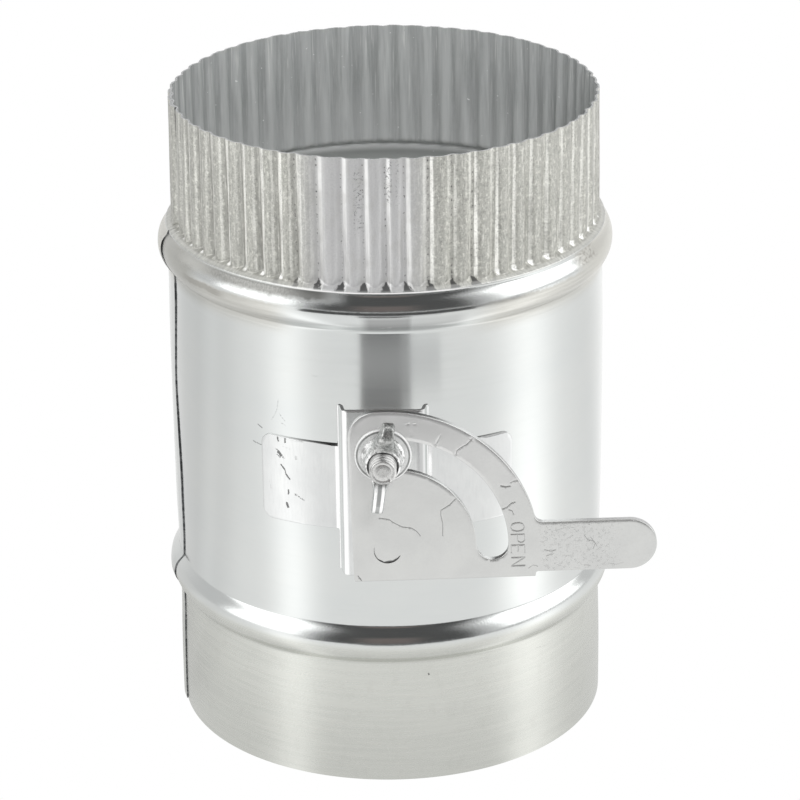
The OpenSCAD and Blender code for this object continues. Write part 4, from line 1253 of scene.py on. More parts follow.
def handle_material():
    m = Mat("handle_zinc_satin")
    uv = m.attribute()
    u, v, dark = m.split(uv)
    flat = m.vmath("MULTIPLY", uv, (1, 1, 0))
    cloud = m.noise(m.scaled(flat, (0.10, 0.10, 1)), 1, 3, 0.55)
    grain = m.noise(m.scaled(flat, (2.2, 2.2, 1)), 1, 4, 0.68)
    brush = m.noise(m.scaled(flat, (0.22, 3.5, 1)), 1, 3, 0.6)
    scuff_n = m.noise(m.scaled(flat, (1.1, 1.3, 1), (3, 1, 0)), 1, 4, 0.7)
    flake = m.noise(m.scaled(flat, (1.3, 1.9, 1), (1, 4, 0)), 1, 3, 0.65)
    tab = m.math("MULTIPLY", m.ramp(u, 33.0, 36.0), m.ramp(u, 54.0, 47.0, 0.25, 1.0))
    arc_zone = m.math("MULTIPLY", m.ramp(m.vmath("LENGTH", flat), 26.0, 27.5), m.ramp(u, 36.0, 33.0))
    scuff = m.math("MULTIPLY", m.ramp(scuff_n, 0.52, 0.62), m.math("ADD", m.math("MULTIPLY", tab, 0.8), 0.03))
    flakes = m.math("MULTIPLY", m.ramp(flake, 0.62, 0.72),
                    m.math("ADD", m.math("MULTIPLY", tab, 0.35), m.math("MULTIPLY", arc_zone, 0.10)))
    col = m.mix(m.ramp(cloud, 0.3, 0.7), (0.603, 0.607, 0.598), (0.643, 0.647, 0.635))
    # painted light: the plate is drawn lighter towards its top
    col = m.mix(m.ramp(v, 8.0, 26.0, 0.0, 0.75), col, (0.745, 0.745, 0.74))
    col = m.mix(m.ramp(grain, 0.4, 0.75, 0.0, 0.2), col, (0.58, 0.58, 0.57))
    col = m.mix(m.math("MULTIPLY", scuff, 0.45), col, (0.58, 0.585, 0.575))
    col = m.mix(flakes, col, (0.40, 0.40, 0.39))
    col = m.mix(m.math("MULTIPLY", dark, 0.75), col, (0.13, 0.13, 0.13))
    r = m.mixf(m.ramp(grain, 0.3, 0.7), 0.18, 0.22)
    rough = m.mixf(m.math("MAXIMUM", scuff, dark), r, 0.42)
    h = m.math("ADD", m.math("MULTIPLY", grain, 0.25), m.math("MULTIPLY", brush, 0.10))
    h = m.math("ADD", h, m.math("MULTIPLY", scuff, 0.9))
    return m.metal(col, rough, m.bump(h, 0.000010), 0.8)


MAT_HANDLE = handle_material()
MAT_HANDLE_BACK = zinc_plate("handle_zinc_back", 0.64, 0.28, 0.4, 0.6)
build_handle()


# ---- lock bolt, washer, wing nut --------------------------------------------

def on_bolt(x, y, h, turn=0.0):
    """x, y across the bolt as seen from the front, h forward from the duct's axis."""
    c, s = math.cos(math.radians(turn)), math.sin(math.radians(turn))
    return (BOLT[0] + x * c - y * s, -h, BOLT[1] + x * s + y * c)


def build_bolt():
    m = Mesh()
    n = 72
    pitch, tip, depth = 1.27, 65.7, 0.42
    hs = list(np.arange(57.0, 65.66, 0.07)) + [65.66, 65.7]
    stack = [(51.25, "c", 5.4), (51.7, "c", 6.0), (52.85, "c", 6.0), (53.0, "c", 5.8), (53.05, "q", 0),
             (53.98, "q", 0), (54.0, "c", 3.0), (56.9, "c", 3.0)]
    rings = [m.add([on_bolt(0, 0, 51.25)], [(0, 51.25, 0)])]
    ang = np.arange(n) * TAU / n
    for h, kind, r in stack:
        rr = np.full(n, r, float) if kind == "c" else 3.0 / np.maximum(np.abs(np.cos(ang)), np.abs(np.sin(ang)))
        rr = np.minimum(rr, 4.1) if kind == "q" else rr
        rings.append(m.add([on_bolt(q * math.cos(a), q * math.sin(a), h) for q, a in zip(rr, ang)],
                           [(a * 3.0, h, 0) for a in ang]))
    for h in hs:
        ph = (h / pitch - ang / TAU) % 1.0
        saw = np.abs(ph * 2 - 1)                 # 0 at the crest, 1 at the root
        cut = np.clip((saw - 0.10) / 0.78, 0, 1)
        rr = 3.04 - depth * cut
        rr = np.minimum(rr, 2.62 + (tip - h) * 1.15)
        # painted shade in the thread's roots, passed on to the finish
        dk = cut * (h < 65.2)
        rings.append(m.add([on_bolt(q * math.cos(a), q * math.sin(a), h) for q, a in zip(rr, ang)],
                           np.stack([ang * 3.0, np.full(n, h), dk], -1)))
    # end face, very slightly dished, with a small nick
    for r, dh in ((2.45, 0.0), (2.1, 0.0), (1.98, -0.07), (1.86, 0.0), (1.0, 0.0), (0.5, -0.01)):
        nick = np.exp(-((ang - math.radians(360 - 48)) / 0.13) ** 2) * (r > 1.9) * 0.25
        rings.append(m.add([on_bolt(r * math.cos(a), r * math.sin(a), tip + dh - k) for a, k in zip(ang, nick)],
                           [(a * r, r, 0) for a in ang]))
    rings.append(m.add([on_bolt(0, 0, tip - 0.01)], [(0, 0, 0)]))
    for a, b in zip(rings[:-1], rings[1:]):
        for j in range(n):
            k = (j + 1) % n
            if len(a) == 1:
                m.face([a[0], b[j], b[k]], 0)
            elif len(b) == 1:
                m.face([a[j], b[0], a[k]], 0)
            else:
                m.face([a[j], b[j], b[k], a[k]], 0)
    return m.build("lock_bolt_threaded", [MAT_BOLT], "duct", ["lock_bolt"], "plated_hardware", sharp=50)


def build_washer():
    m = Mesh()
    prof = [(3.3, 0.12), (3.42, 0.0), (6.15, 0.0), (6.35, 0.16), (6.35, 0.78), (6.29, 0.92), (6.16, 1.0),
            (4.8, 1.0), (3.46, 0.97), (3.33, 0.88)]
    cols = 96
    rings = []
    for r, h in prof:
        rings.append(m.add([on_bolt(r * math.cos(TAU * j / cols), r * math.sin(TAU * j / cols), 55.6 + h)
                            for j in range(cols)], [(TAU * j / cols * 5, r, 0) for j in range(cols)]))
    rings.append(rings[0])
    for a, b in zip(rings[:-1], rings[1:]):
        for j in range(cols):
            k = (j + 1) % cols
            m.face([a[j], a[k], b[k], b[j]], 0)
    return m.build("flat_washer_ring", [MAT_WASHER], "washer", ["flat_washer"], "plated_hardware", sharp=50)


def wing_loop():
    # (distance from the axis, height above the washer), counter-clockwise
    out = [(2.9, 0.7), (4.4, 0.7), (5.4, 1.15), (6.5, 2.1), (7.4, 3.35)]
    out += arc(8.2, 6.55, 2.6, -62, 118, 22)
    out += [(6.2, 8.15), (5.4, 7.35), (4.6, 6.6), (3.8, 6.0), (2.9, 5.6)]
    return out


def build_wing_nut():
    m = Mesh()
    cols = 64

    def world(x, y, h):
        return on_bolt(x, y, 56.62 + h, -8.0)
    # hub: flared foot, tapering body, rounded front rim and the threaded bore
    prof = [(3.1, 0.25), (3.35, 0.0), (4.45, 0.0), (4.78, 0.12), (4.85, 0.4), (4.7, 0.75), (4.45, 1.1), (4.2, 2.4),
            (4.03, 4.2), (3.98, 5.3), (3.85, 5.68), (3.6, 5.85), (3.42, 5.82), (3.26, 5.65), (3.1, 5.35)]
    rings = []
    for r, h in prof:
        rings.append(m.add([world(r * math.cos(TAU * j / cols), r * math.sin(TAU * j / cols), h) for j in range(cols)]))
    rings.append(rings[0])
    for a, b in zip(rings[:-1], rings[1:]):
        for j in range(cols):
            k = (j + 1) % cols
            m.face([a[j], a[k], b[k], b[j]], 0)
    # wings: each a thick blade with a fully rounded edge
    loop = np.array(wing_loop())
    # even spacing
    seg = np.linalg.norm(np.diff(np.vstack([loop, loop[:1]]), axis=0), axis=1)
    cum = np.concatenate([[0], np.cumsum(seg)])
    tt = np.linspace(0, cum[-1], 90, endpoint=False)
    lx = np.interp(tt, cum, np.append(loop[:, 0], loop[0, 0]))
    lh = np.interp(tt, cum, np.append(loop[:, 1], loop[0, 1]))
    loop = np.stack([lx, lh], 1)
    half, turn = 1.36, 0.62
    for side in (1, -1):
        # flat narrow faces with rounded corners; the wing swells towards the hub
        layers = [(turn * (1 - math.cos(a)), half - turn + turn * math.sin(a)) for a in
                  [math.pi / 2 * i / 5 for i in range(6)]]
        layers = [(i, -o) for i, o in layers[::-1]] + layers
        rr = []
        for ins, off in layers:
            q = offset_loop(loop, ins)
            # the upper wing swells on its left, the lower one only at the hub
            if side > 0:
                near, amp = (10.2, 0.95) if off < 0 else (8.0, 0.5)
            else:
                near, amp = 6.0, 0.55
            rr.append(m.add([world(off * side * (1 + amp * float(smooth01(near, 3.6, r))), side * r, h) for r, h in q]))
        n = len(loop)
        for a, b in zip(rr[:-1], rr[1:]):
            for j in range(n):
                k = (j + 1) % n
                m.face([a[j], a[k], b[k], b[j]], 0)
        for ids, (ins, off) in ((rr[0], layers[0]), (rr[-1], layers[-1])):
            q = offset_loop(loop, ins)
            p2, tris, where = fill([tuple(x) for x in q], [])
            back = {w: ids[k] for k, w in enumerate(where)}
            for t in tris:
                if all(i in back for i in t):
                    m.face([back[i] for i in t], 0)
    me = bpy.data.meshes.new("wing_nut_raw")
    me.from_pydata([(x * MM, y * MM, z * MM) for x, y, z in m.v], [], m.f)
    import bmesh
    bm = bmesh.new()
    bm.from_mesh(me)
    bmesh.ops.remove_doubles(bm, verts=bm.verts, dist=1e-7)
    bmesh.ops.recalc_face_normals(bm, faces=bm.faces)
    bm.to_mesh(me)
    bm.free()
    tmp = bpy.data.objects.new("wing_nut_raw", me)
    bpy.context.scene.collection.objects.link(tmp)
    r = tmp.modifiers.new("remesh", "REMESH")
    r.mode, r.voxel_size, r.adaptivity = "VOXEL", 0.00013, 0.0
    sm = tmp.modifiers.new("smooth", "SMOOTH")
    sm.factor, sm.iterations = 0.5, 6
    dg = bpy.context.evaluated_depsgraph_get()
    new = bpy.data.meshes.new_from_object(tmp.evaluated_get(dg))
    bpy.data.objects.remove(tmp)
    bpy.data.meshes.remove(me)
    new.name = "wing_nut_forged"
    new.materials.clear()
    new.materials.append(MAT_WING)
    new.polygons.foreach_set("use_smooth", [True] * len(new.polygons))
    return place("wing_nut_forged", new, "wing", ["wing_nut"])


def bolt_material():
    m = Mat("bolt_zinc")
    uv = m.attribute()
    a, h, dark = m.split(uv)
    tc = m.node("ShaderNodeTexCoord").outputs["Object"]
    v = m.scaled(tc, (1000, 1000, 1000))
    g = m.noise(v, 2.4, 4, 0.65)
    col = m.mix(m.ramp(g, 0.3, 0.7), (0.58, 0.58, 0.57), (0.72, 0.72, 0.71))
    # painted shade: the thread's roots, and the bolt close to the nut, are drawn dark
    near_nut_shade = m.ramp(m.math("MULTIPLY", m.split(v)[1], -1.0), 63.5, 62.5)
    col = m.mix(m.math("MAXIMUM", m.math("MULTIPLY", dark, 0.85), m.math("MULTIPLY", near_nut_shade, 0.55)), col, (0.08, 0.08, 0.08))
    return m.metal(col, m.ramp(g, 0.2, 0.8, 0.22, 0.36, "LINEAR"), m.bump(g, 0.000012), 0.85)


def wing_material():
    """Rough cast zinc, mottled; one wing darker, partly as painted shade; painted highlights on the rest."""
    m = Mat("wing_nut_zinc")
    tc = m.node("ShaderNodeTexCoord").outputs["Object"]
    v = m.scaled(tc, (1000, 1000, 1000))
    x, y, z = m.split(v)
    patch = m.noise(v, 0.95, 4, 0.62)
    grain = m.noise(v, 2.3, 4, 0.7)
    fine = m.noise(v, 6.0, 2, 0.5)
    dx, dz = m.math("SUBTRACT", x, BOLT[0]), m.math("SUBTRACT", z, BOLT[1])
    c, sn = math.cos(math.radians(-8)), math.sin(math.radians(-8))
    # across and along the wings
    lx = m.math("ADD", m.math("MULTIPLY", dx, c), m.math("MULTIPLY", dz, sn))
    ly = m.math("SUBTRACT", m.math("MULTIPLY", dz, c), m.math("MULTIPLY", dx, sn))
    ax = m.math("ABSOLUTE", lx)
    rad = m.math("SQRT", m.math("ADD", m.math("MULTIPLY", dx, dx), m.math("MULTIPLY", dz, dz)))
    upper = m.ramp(ly, 2.9, 4.1)
    lower = m.ramp(ly, -3.7, -4.7)
    col = m.mix(m.ramp(patch, 0.38, 0.62), (0.56, 0.56, 0.555), (0.78, 0.78, 0.77))
    spot = m.math("MULTIPLY", m.ramp(patch, 0.56, 0.44), m.ramp(grain, 0.38, 0.56))
    col = m.mix(m.math("MULTIPLY", spot, m.mixf(upper, m.mixf(lower, 0.35, 0.0), 0.80)), col, (0.15, 0.155, 0.15))
    # painted shade: the upper wing is drawn darker, most on its right flank
    flank = m.ramp(lx, 0.2, -0.9)
    col = m.mix(m.math("MULTIPLY", upper, m.mixf(flank, 0.52, 0.26)), col, (0.24, 0.25, 0.24))
    col = m.mix(m.math("MULTIPLY", m.ramp(fine, 0.64, 0.72), 0.5), col, (0.14, 0.14, 0.14))
    # painted highlights on the lower wing's rounded edges; painted shade on its middle
    strip = m.math("MULTIPLY", m.math("MULTIPLY", m.ramp(ax, 0.34, 0.56), m.ramp(ax, 1.16, 0.98)), lower)
    strip = m.math("MULTIPLY", strip, m.math("MULTIPLY", m.ramp(ly, -10.6, -10.1), m.ramp(patch, 0.34, 0.50, 0.6, 0.95)))
    col = m.mix(lower, col, (0.40, 0.41, 0.405))
    # painted highlights on both sides of the hub
    flat = m.math("MULTIPLY", m.math("MULTIPLY", m.ramp(ax, 2.8, 3.3), m.ramp(patch, 0.44, 0.52)),
                  m.math("MULTIPLY", m.ramp(ly, -2.0, -0.6), m.ramp(ly, 4.2, 3.2)))
    # painted highlights: the lower wing's edges and the hub's flats, made less metallic
    painted_glint = m.math("MAXIMUM", strip, m.math("MULTIPLY", flat, 0.85))
    col = m.mix(painted_glint, col, (0.92, 0.92, 0.915))
    # painted shade: the gap round the bolt is drawn black
    bore = m.ramp(rad, 3.60, 3.44)
    col = m.mix(bore, col, (0.02, 0.02, 0.02))
    rough = m.mixf(lower, m.ramp(grain, 0.25, 0.75, 0.20, 0.38, "LINEAR"), 0.22)
    h = m.math("MULTIPLY", patch, 2.0)
    h = m.math("ADD", h, m.math("ADD", grain, m.math("MULTIPLY", fine, 0.4)))
    h = m.math("MULTIPLY", h, m.mixf(lower, 1.0, 0.25))
    metallic = m.mixf(painted_glint, m.mixf(lower, 0.85, 0.45), 0.2)
    return m.metal(col, rough, m.bump(h, 0.00005), m.mixf(bore, metallic, 0.9))


def washer_material():
    """Smooth zinc, with painted shade as a thin dark line inside a painted highlight on the rim."""
    m = Mat("washer_zinc")
    uv = m.attribute()
    _, r, _ = m.split(uv)
    tc = m.node("ShaderNodeTexCoord").outputs["Object"]
    v = m.scaled(tc, (1000, 1000, 1000))
    cloud = m.noise(v, 0.7, 3, 0.6)
    grain = m.noise(v, 3.0, 4, 0.65)
    col = m.mix(m.ramp(cloud, 0.35, 0.65), (0.58, 0.585, 0.58), (0.68, 0.685, 0.68))
    col = m.mix(m.ramp(grain, 0.45, 0.8, 0.0, 0.25), col, (0.52, 0.525, 0.52))
    # painted shade: a thin dark line inside the rim; painted highlight: the rim itself
    line = m.math("MULTIPLY", m.ramp(r, 5.56, 5.70), m.ramp(r, 6.06, 5.96))
    col = m.mix(m.math("MULTIPLY", line, m.ramp(cloud, 0.35, 0.55, 0.6, 0.9)), col, (0.17, 0.175, 0.17))
    col = m.mix(m.math("MULTIPLY", m.ramp(r, 6.04, 6.12), 0.7), col, (0.88, 0.88, 0.875))
    h = m.math("ADD", grain, m.math("MULTIPLY", cloud, 1.5))
    return m.metal(col, m.ramp(grain, 0.25, 0.75, 0.24, 0.36, "LINEAR"), m.bump(h, 0.000008), 0.45)


MAT_BOLT = bolt_material()
MAT_WASHER = washer_material()
MAT_WING = wing_material()
for ob in (build_bolt(), build_washer(), build_wing_nut()):
    ob.visible_glossy = False


# ---- shaft, blade, straps, rivets, rear retainer ----------------------------

def build_shaft():
    """Round shaft. Its front end is staked into the handle, flush with the face,
    and drawn back along a crescent at the bottom where the metal didn't fill."""
    m = Mesh()
    n = 72
    ang = np.arange(n) * TAU / n
    a = math.radians(HANDLE_DEG)

    def ring(radii, y, dark=0.0):
        return m.add([(q * math.cos(t), y, SHAFT_Z + q * math.sin(t)) for q, t in zip(radii, ang)],
                     [(q * math.cos(t - a), q * math.sin(t - a), k)
                      for q, t, k in zip(radii, ang, np.broadcast_to(dark, n))])
    full = np.full(n, 3.1)
    rings = [m.add([(0, 55.0, SHAFT_Z)])]
    for r, y in ((2.4, 55.0), (2.6, 54.95), (3.1, 54.5)):
        rings.append(ring(np.full(n, r), y))
    for y in (40, 25, 10, -10, -25, -40, -52, -54.2):
        rings.append(ring(full, float(y)))
    deg = np.degrees(ang)
    gap = np.zeros(n)
    for mid, wid, amp in ((278, 32, 0.62), (306, 26, 0.46), (240, 26, 0.34), (205, 34, 0.20), (178, 18, 0.12), (327, 12, 0.26)):
        gap = np.maximum(gap, amp * np.clip(1 - ((deg - mid) / wid) ** 2, 0, None))
    # painted shade: the crescent gap is darkened through the handle finish's dark channel
    dk = np.clip(gap / 0.22, 0, 1)
    rings.append(ring(full - 0.01, -54.75, 1.25 * dk))
    rings.append(ring(full - 0.01 - gap, -54.95, 1.25 * dk))
    rings.append(ring(full - 0.01 - gap, HANDLE_FRONT + 0.12, 0.9 * dk))
    rings.append(ring(full - 0.005 - gap * 1.1, HANDLE_FRONT, 0.1 * dk))
    rings.append(ring(full - 0.4 - gap * 1.1, HANDLE_FRONT - 0.0, 0.0))
    rings.append(ring(np.full(n, 1.4), HANDLE_FRONT + 0.012))
    rings.append(m.add([(0, HANDLE_FRONT + 0.015, SHAFT_Z)]))
    for i, (b, c) in enumerate(zip(rings[:-1], rings[1:])):
        mat = 1 if i >= len(rings) - 7 else 0
        for j in range(n):
            k = (j + 1) % n
            if len(b) == 1:
                m.face([b[0], c[j], c[k]], mat)
            elif len(c) == 1:
                m.face([b[j], c[0], b[k]], mat)
            else:
                m.face([b[j], c[j], c[k], b[k]], mat)
    return m.build("damper_shaft_turned", [MAT_SHAFT, MAT_HANDLE], "damper", ["damper_shaft"], "shaft_steel", sharp=40)


MAT_SHAFT = zinc_plate("shaft_zinc", 0.62, 0.22, 0.36, 0.7, streaks=(1, 0.15, 1))
MAT_BLADE = zinc_plate("blade_zinc", 0.68, 0.24, 0.38, 0.25, streaks=(0.3, 1.2, 1))
MAT_STRAP = zinc_plate("strap_zinc", 0.66, 0.2, 0.34, 0.6)
MAT_RIVET = zinc_plate("rivet_zinc", 0.60, 0.22, 0.36, 1.0)
MAT_PUSH = zinc_plate("push_nut_zinc", 0.62, 0.2, 0.34, 0.9)
build_shaft()


def keep_cad(node, mat, width):
    """A CAD node whose shape is right stays, with its finish and broken edges."""
    ob = frame["nodes"][node]
    ob.data.materials.clear()
    ob.data.materials.append(mat)
    b = ob.modifiers.new("broken_edges", "BEVEL")
    b.width, b.segments, b.limit_method, b.angle_limit = width * MM, 2, "ANGLE", math.radians(40)
    b.harden_normals = False


def build_blade():
    """Round blade with a rolled edge and the rivets' holes."""
    m = Mesh()
    a = math.radians(-HANDLE_DEG)
    top, t = -3.1, 0.8

    def at(x, y, h):
        x, y, h = np.broadcast_arrays(np.asarray(x, float), np.asarray(y, float), np.asarray(h, float))
        return np.stack([x * math.cos(a) + h * math.sin(a), y, SHAFT_Z - x * math.sin(a) + h * math.cos(a)], -1)
    rim = np.array(arc(0, 0, 48.6, 0, 360, 180)[:-1])
    holes = [np.array(arc(x, y, 1.6, 0, 360, 24)[:-1])[::-1] for x in (-8, 8) for y in (-25, 25)]
    pts = [(x + 0.6 * math.sin(y), y + 0.6 * math.sin(x)) for x in np.arange(-46, 47, 3.1) for y in np.arange(-46, 47, 3.1)
           if math.hypot(x, y) < 46.5]
    sets = {}
    for up in (True, False):
        ins = 0.22
        loops = [offset_loop(rim, ins)] + holes
        v, tris, where = fill([tuple(q) for q in loops[0]], [tuple(map(tuple, h)) for h in holes], pts)
        v = np.array(v)
        rad = np.hypot(v[:, 0], v[:, 1])
        wave = 0.05 * np.sin(v[:, 0] * 0.11 + 1) * np.sin(v[:, 1] * 0.09) * smooth01(48, 40, rad)
        far = smooth01(11, 18, np.abs(v[:, 0]))
        h = (top if up else top - t) - np.abs(wave) * far * (1 if up else -1) * 0.6
        ids = m.add(at(v[:, 0], v[:, 1], h), np.stack([v[:, 0], v[:, 1], np.zeros(len(v))], -1))
        for tr in tris:
            q = [ids[i] for i in tr]
            m.face(q if up else q[::-1], 0)
        sets[up] = (ids, where)
    start = 0
    for li, lp in enumerate([rim] + holes):
        n = len(lp)
        a_ids = [sets[True][0][sets[True][1][start + k]] for k in range(n)]
        b_ids = [sets[False][0][sets[False][1][start + k]] for k in range(n)]
        start += n
        rings = [a_ids]
        if li == 0:
            for ins, dh in ((0.07, -0.06), (0.0, -0.22), (0.0, -0.58), (0.07, -0.74)):
                q = offset_loop(lp, ins)
                rings.append(m.add(at(q[:, 0], q[:, 1], top + dh), np.stack([q[:, 0], q[:, 1], np.zeros(n)], -1)))
        rings.append(b_ids)
        for ra, rb in zip(rings[:-1], rings[1:]):
            for k in range(n):
                m.face([ra[k], rb[k], rb[(k + 1) % n], ra[(k + 1) % n]], 0)
    return m.build("damper_blade_disc", [MAT_BLADE], "damper", ["damper_blade"], "blade_galvanised", sharp=40)


build_blade()
for name, mat, width in (("blade_strap_front", MAT_STRAP, 0.14), ("blade_strap_rear", MAT_STRAP, 0.14),
                         ("strap_rivet_1", MAT_RIVET, 0.08), ("strap_rivet_2", MAT_RIVET, 0.08),
                         ("strap_rivet_3", MAT_RIVET, 0.08), ("strap_rivet_4", MAT_RIVET, 0.08),
                         ("rear_push_nut", MAT_PUSH, 0.10)):
    keep_cad(name, mat, width)


# ---- camera -----------------------------------------------------------------

CAM = (8.5466, -727.2499, 389.7643)
YAW, PITCH_A, ROLL = -0.0079547, 0.4090769, -0.0122279
fwd = Vector((math.sin(YAW) * math.cos(PITCH_A), math.cos(YAW) * math.cos(PITCH_A), -math.sin(PITCH_A)))
right = Vector((math.cos(YAW), -math.sin(YAW), 0))
up = right.cross(fwd)
right2 = math.cos(ROLL) * right + math.sin(ROLL) * up
up2 = -math.sin(ROLL) * right + math.cos(ROLL) * up
cam_data = bpy.data.cameras.new("camera")
cam_data.sensor_fit = "HORIZONTAL"
cam_data.sensor_width = 36.0
cam_data.lens = 3325.389 * 36.0 / 800.0
cam_data.clip_start, cam_data.clip_end = 0.05, 20.0
cam = bpy.data.objects.new("camera", cam_data)
bpy.context.scene.collection.objects.link(cam)
basis = Matrix((right2, up2, -fwd)).transposed().to_4x4()
basis.translation = Vector(CAM) * MM
cam.matrix_world = basis
bpy.context.scene.camera = cam


# ---- studio -----------------------------------------------------------------

def glow(name, build):
    """Emission material; build(m) returns the strength, a number or a socket."""
    m = Mat(name)
    m.nt.nodes.remove(m.bsdf)
    e = m.node("ShaderNodeEmission")
    strength, colour = build(m)
    m.put(e.inputs["Strength"], strength)
    m.put(e.inputs["Color"], colour if isinstance(colour, bpy.types.NodeSocket) else (*colour, 1.0))
    m.link(e.outputs[0], m.out.inputs[0])
    try:
        m.mat.cycles.emission_sampling = "NONE"
    except (AttributeError, TypeError):
        pass
    return m.mat


def studio_mesh(name, verts, faces, mat, camera=False, glossy=True, diffuse=False, shadow=False):
    me = bpy.data.meshes.new(name)
    me.from_pydata([tuple(c * MM for c in v) for v in verts], [], faces)
    me.materials.append(mat)
    me.polygons.foreach_set("use_smooth", [True] * len(me.polygons))
    ob = bpy.data.objects.new(name, me)
    bpy.context.scene.collection.objects.link(ob)
    ob.visible_camera, ob.visible_glossy, ob.visible_diffuse = camera, glossy, diffuse
    ob.visible_shadow, ob.visible_transmission, ob.visible_volume_scatter = shadow, False, False
    return ob


def disc(r, z, n=96, rings=1):
    v = [(0, 0, z)]
    f = []
    for k in range(1, rings + 1):
        for j in range(n):
            a = TAU * j / n
            v.append((r * k / rings * math.cos(a), r * k / rings * math.sin(a), z))
    for j in range(n):
        f.append((0, 1 + j, 1 + (j + 1) % n))
    for k in range(1, rings):
        for j in range(n):
            a, b = 1 + (k - 1) * n, 1 + k * n
            f.append((a + j, b + j, b + (j + 1) % n, a + (j + 1) % n))
    return v, f


def lum(x):
    return x


# floor that the camera sees: plain white
def white_floor(m):
    return 1.0, (1.0, 1.0, 1.0)


v, f = disc(2600, -0.05)
studio_mesh("floor", v, f, glow("floor_white", white_floor), camera=True, glossy=False, diffuse=True, shadow=False)


# floor as the metal mirrors it: white, brighter under the side lights and a
# little darker close to the object
def mirror_floor(m):
    tc = m.node("ShaderNodeTexCoord").outputs["Object"]
    p = m.scaled(tc, (1000, 1000, 1000))
    x, y, _ = m.split(p)
    r = m.vmath("LENGTH", m.vmath("MULTIPLY", p, (1, 1, 0)))

    def azimuth(x0, y0):
        a = m.math("ARCTAN2", m.math("SUBTRACT", x, x0), m.math("SUBTRACT", y0, y))
        return m.math("MULTIPLY", a, 180 / math.pi)

    def bell(a, mid, width, amp):
        d = m.math("DIVIDE", m.math("SUBTRACT", a, mid), width)
        return m.math("MULTIPLY", m.math("EXPONENT", m.math("MULTIPLY", m.math("MULTIPLY", d, d), -1.0)), amp)
    az = azimuth(0, 0)
    side = m.math("ABSOLUTE", az)
    total = m.math("ADD", FLOOR_BASE, bell(az, -90.0, 13.0, -0.14))
    total = m.math("ADD", total, m.ramp(az, -94.0, -112.0, 0.0, -0.21))
    total = m.math("ADD", total, m.ramp(az, 100.0, 122.0, 0.0, -0.06))
    total = m.math("ADD", total, m.ramp(side, 122.0, 152.0, 0.0, FLOOR_REAR))
    near = m.ramp(r, 150.0, 300.0, 1.15, 0.85)
    for x0, y0, mid, width, amp in FLOOR_POOLS:
        total = m.math("ADD", total, m.math("MULTIPLY", bell(azimuth(x0, y0), mid, width, amp), near))
    total = m.math("MULTIPLY", total, m.ramp(r, 56.0, 125.0, 0.80, 1.0))
    return total, (1.0, 1.0, 0.995)


FLOOR_BASE, FLOOR_REAR = 0.97, 0.12
# each pool of light is seen along one upright line of the wall, so it spreads
# from that line's focus inside the round wall
FLOOR_POOLS = [(-4.2, -31.8, -53.5, 12.5, 0.37), (13.4, -35.7, 80.5, 18.0, 0.47)]
v, f = disc(2600, -0.1)
studio_mesh("mirror_floor", v, f, glow("mirror_floor_white", mirror_floor))


def sector(az0, az1, r0, z0, r1, z1, n=48, rows_n=1, x0=0.0, y0=0.0):
    """A card bent round the object from radius r0, height z0 to radius r1, height z1."""
    v, f = [], []
    for k in range(rows_n + 1):
        t = k / rows_n
        for j in range(n + 1):
            a = math.radians(az0 + (az1 - az0) * j / n)
            r, z = r0 + (r1 - r0) * t, z0 + (z1 - z0) * t
            v.append((x0 + r * math.sin(a), y0 - r * math.cos(a), z))
    for k in range(rows_n):
        for j in range(n):
            a = k * (n + 1) + j
            f.append((a, a + 1, a + n + 2, a + n + 1))
    return v, f


def card(name, az0, az1, r0, z0, r1, z1, value, outer=None, tint=(1, 1, 1)):
    """A flat card on the table, its brightness running from value to outer."""
    v, f = sector(az0, az1, r0, z0, r1, z1)

    def light(m):
        if outer is None:
            return value, tint
        p = m.scaled(m.node("ShaderNodeTexCoord").outputs["Object"], (1000, 1000, 0))
        return m.ramp(m.vmath("LENGTH", p), r0, r1, value, outer, "LINEAR"), tint
    return studio_mesh(name, v, f, glow(name + "_light", light))


KEY_POWER = 9.0


# the sky of the studio, by direction from the object
def dome(m):
    tc = m.node("ShaderNodeTexCoord").outputs["Object"]
    d = m.vmath("NORMALIZE", tc)
    x, y, z = m.split(d)
    el = m.math("ARCSINE", z)
    el = m.math("MULTIPLY", el, 180 / math.pi)
    az = m.math("MULTIPLY", m.math("ARCTAN2", x, m.math("MULTIPLY", y, -1.0)), 180 / math.pi)

    def band(x, lo, hi, soft):
        return m.math("MULTIPLY", m.ramp(x, lo - soft, lo + soft), m.ramp(x, hi + soft, hi - soft))
    dark = m.math("MULTIPLY", band(az, -36, 44, 6), m.ramp(el, 90.0, 76.0))
    left = m.math("MULTIPLY", band(az, -89, -46, 4), band(el, 2, 74, 5))
    right = m.math("MULTIPLY", band(az, 59, 112, 4), band(el, 6, 84, 4))
    rear = m.ramp(m.math("ABSOLUTE", az), 112.0, 150.0)
    base = m.mixf(m.ramp(el, 20.0, 75.0), m.mixf(rear, 0.68, 0.88), SKY_TOP)
    s = m.mixf(m.math("MAXIMUM", left, right), base, SKY_SIDE)
    # low in the dark there is something brown
    warm = m.math("MULTIPLY", band(az, -15, 14, 3), band(el, 4, 30, 4))
    s = m.mixf(dark, s, m.mixf(warm, SKY_FRONT, 0.20))
    return s, m.mix(warm, (1.0, 1.0, 1.0), (1.0, 0.86, 0.82))


SKY_TOP, SKY_SIDE, SKY_FRONT = 0.64, 1.9, 0.10


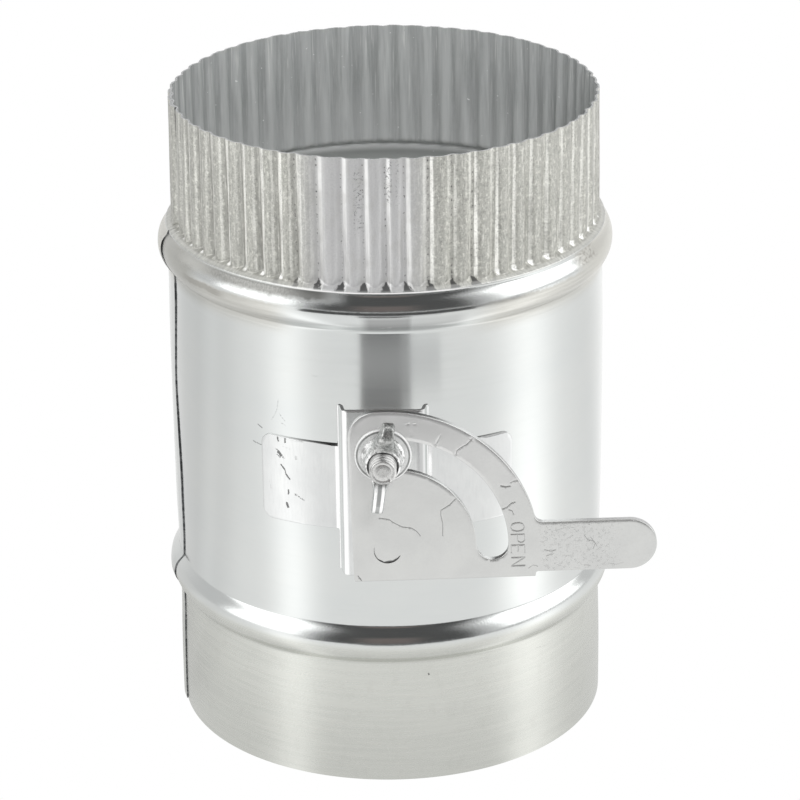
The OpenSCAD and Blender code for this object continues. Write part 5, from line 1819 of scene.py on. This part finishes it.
def dome_mesh(r, n=96, k=32):
    v, f = [], []
    for i in range(k):
        e = math.pi / 2 * i / k
        for j in range(n):
            a = TAU * j / n
            v.append((r * math.cos(e) * math.cos(a), r * math.cos(e) * math.sin(a), r * math.sin(e)))
    v.append((0, 0, r))
    for i in range(k - 1):
        for j in range(n):
            a, b = i * n, (i + 1) * n
            f.append((a + j, b + j, b + (j + 1) % n, a + (j + 1) % n))
    for j in range(n):
        f.append(((k - 1) * n + j, k * n, (k - 1) * n + (j + 1) % n))
    return v, f


v, f = dome_mesh(2500)
studio_mesh("studio_sky", v, f, glow("studio_sky_light", dome))
# the table ends in front of the object and the room behind the camera is dark
card("dark_front", -41, 43, 395, 0.5, 1300, 8, 0.085)
card("dark_stand", -12.5, 6.8, 257, 0.4, 332, 0.4, 0.02, 0.43)
card("dark_stand_far", -12.5, 6.8, 332, 0.4, 395, 0.4, 0.44, 0.60)
card("grey_right", 43, 72, 520, 0.4, 2300, 2, 0.42)
card("dark_stand_edge", 6.8, 11.3, 266, 0.4, 395, 0.4, 0.27, 0.64)
card("grey_front", 11.3, 26, 296, 0.4, 395, 0.4, 0.80, 0.66)

# a soft light high in front: it only feeds the dull share of the finishes, so
# the hardware casts its faint shadows on the plates behind it
key = bpy.data.lights.new("key", "AREA")
key.shape, key.size, key.size_y = "RECTANGLE", 0.30, 0.30
key.energy = KEY_POWER
key_ob = bpy.data.objects.new("key", key)
bpy.context.scene.collection.objects.link(key_ob)
aim = Vector((0.0, -0.055, 0.08))
way = Vector((0.22, -0.76, 0.62)).normalized()
key_ob.location = aim + way * 1.3
key_ob.rotation_euler = way.to_track_quat("Z", "Y").to_euler()
key_ob.visible_glossy = False
key_ob.visible_camera = False

world = bpy.data.worlds.new("studio_white")
bpy.context.scene.world = world
world.use_nodes = True
world.node_tree.nodes["Background"].inputs[0].default_value = (1, 1, 1, 1)
world.node_tree.nodes["Background"].inputs[1].default_value = 1.0

bpy.context.scene.view_settings.view_transform = "Standard"
bpy.context.scene.view_settings.look = "None"
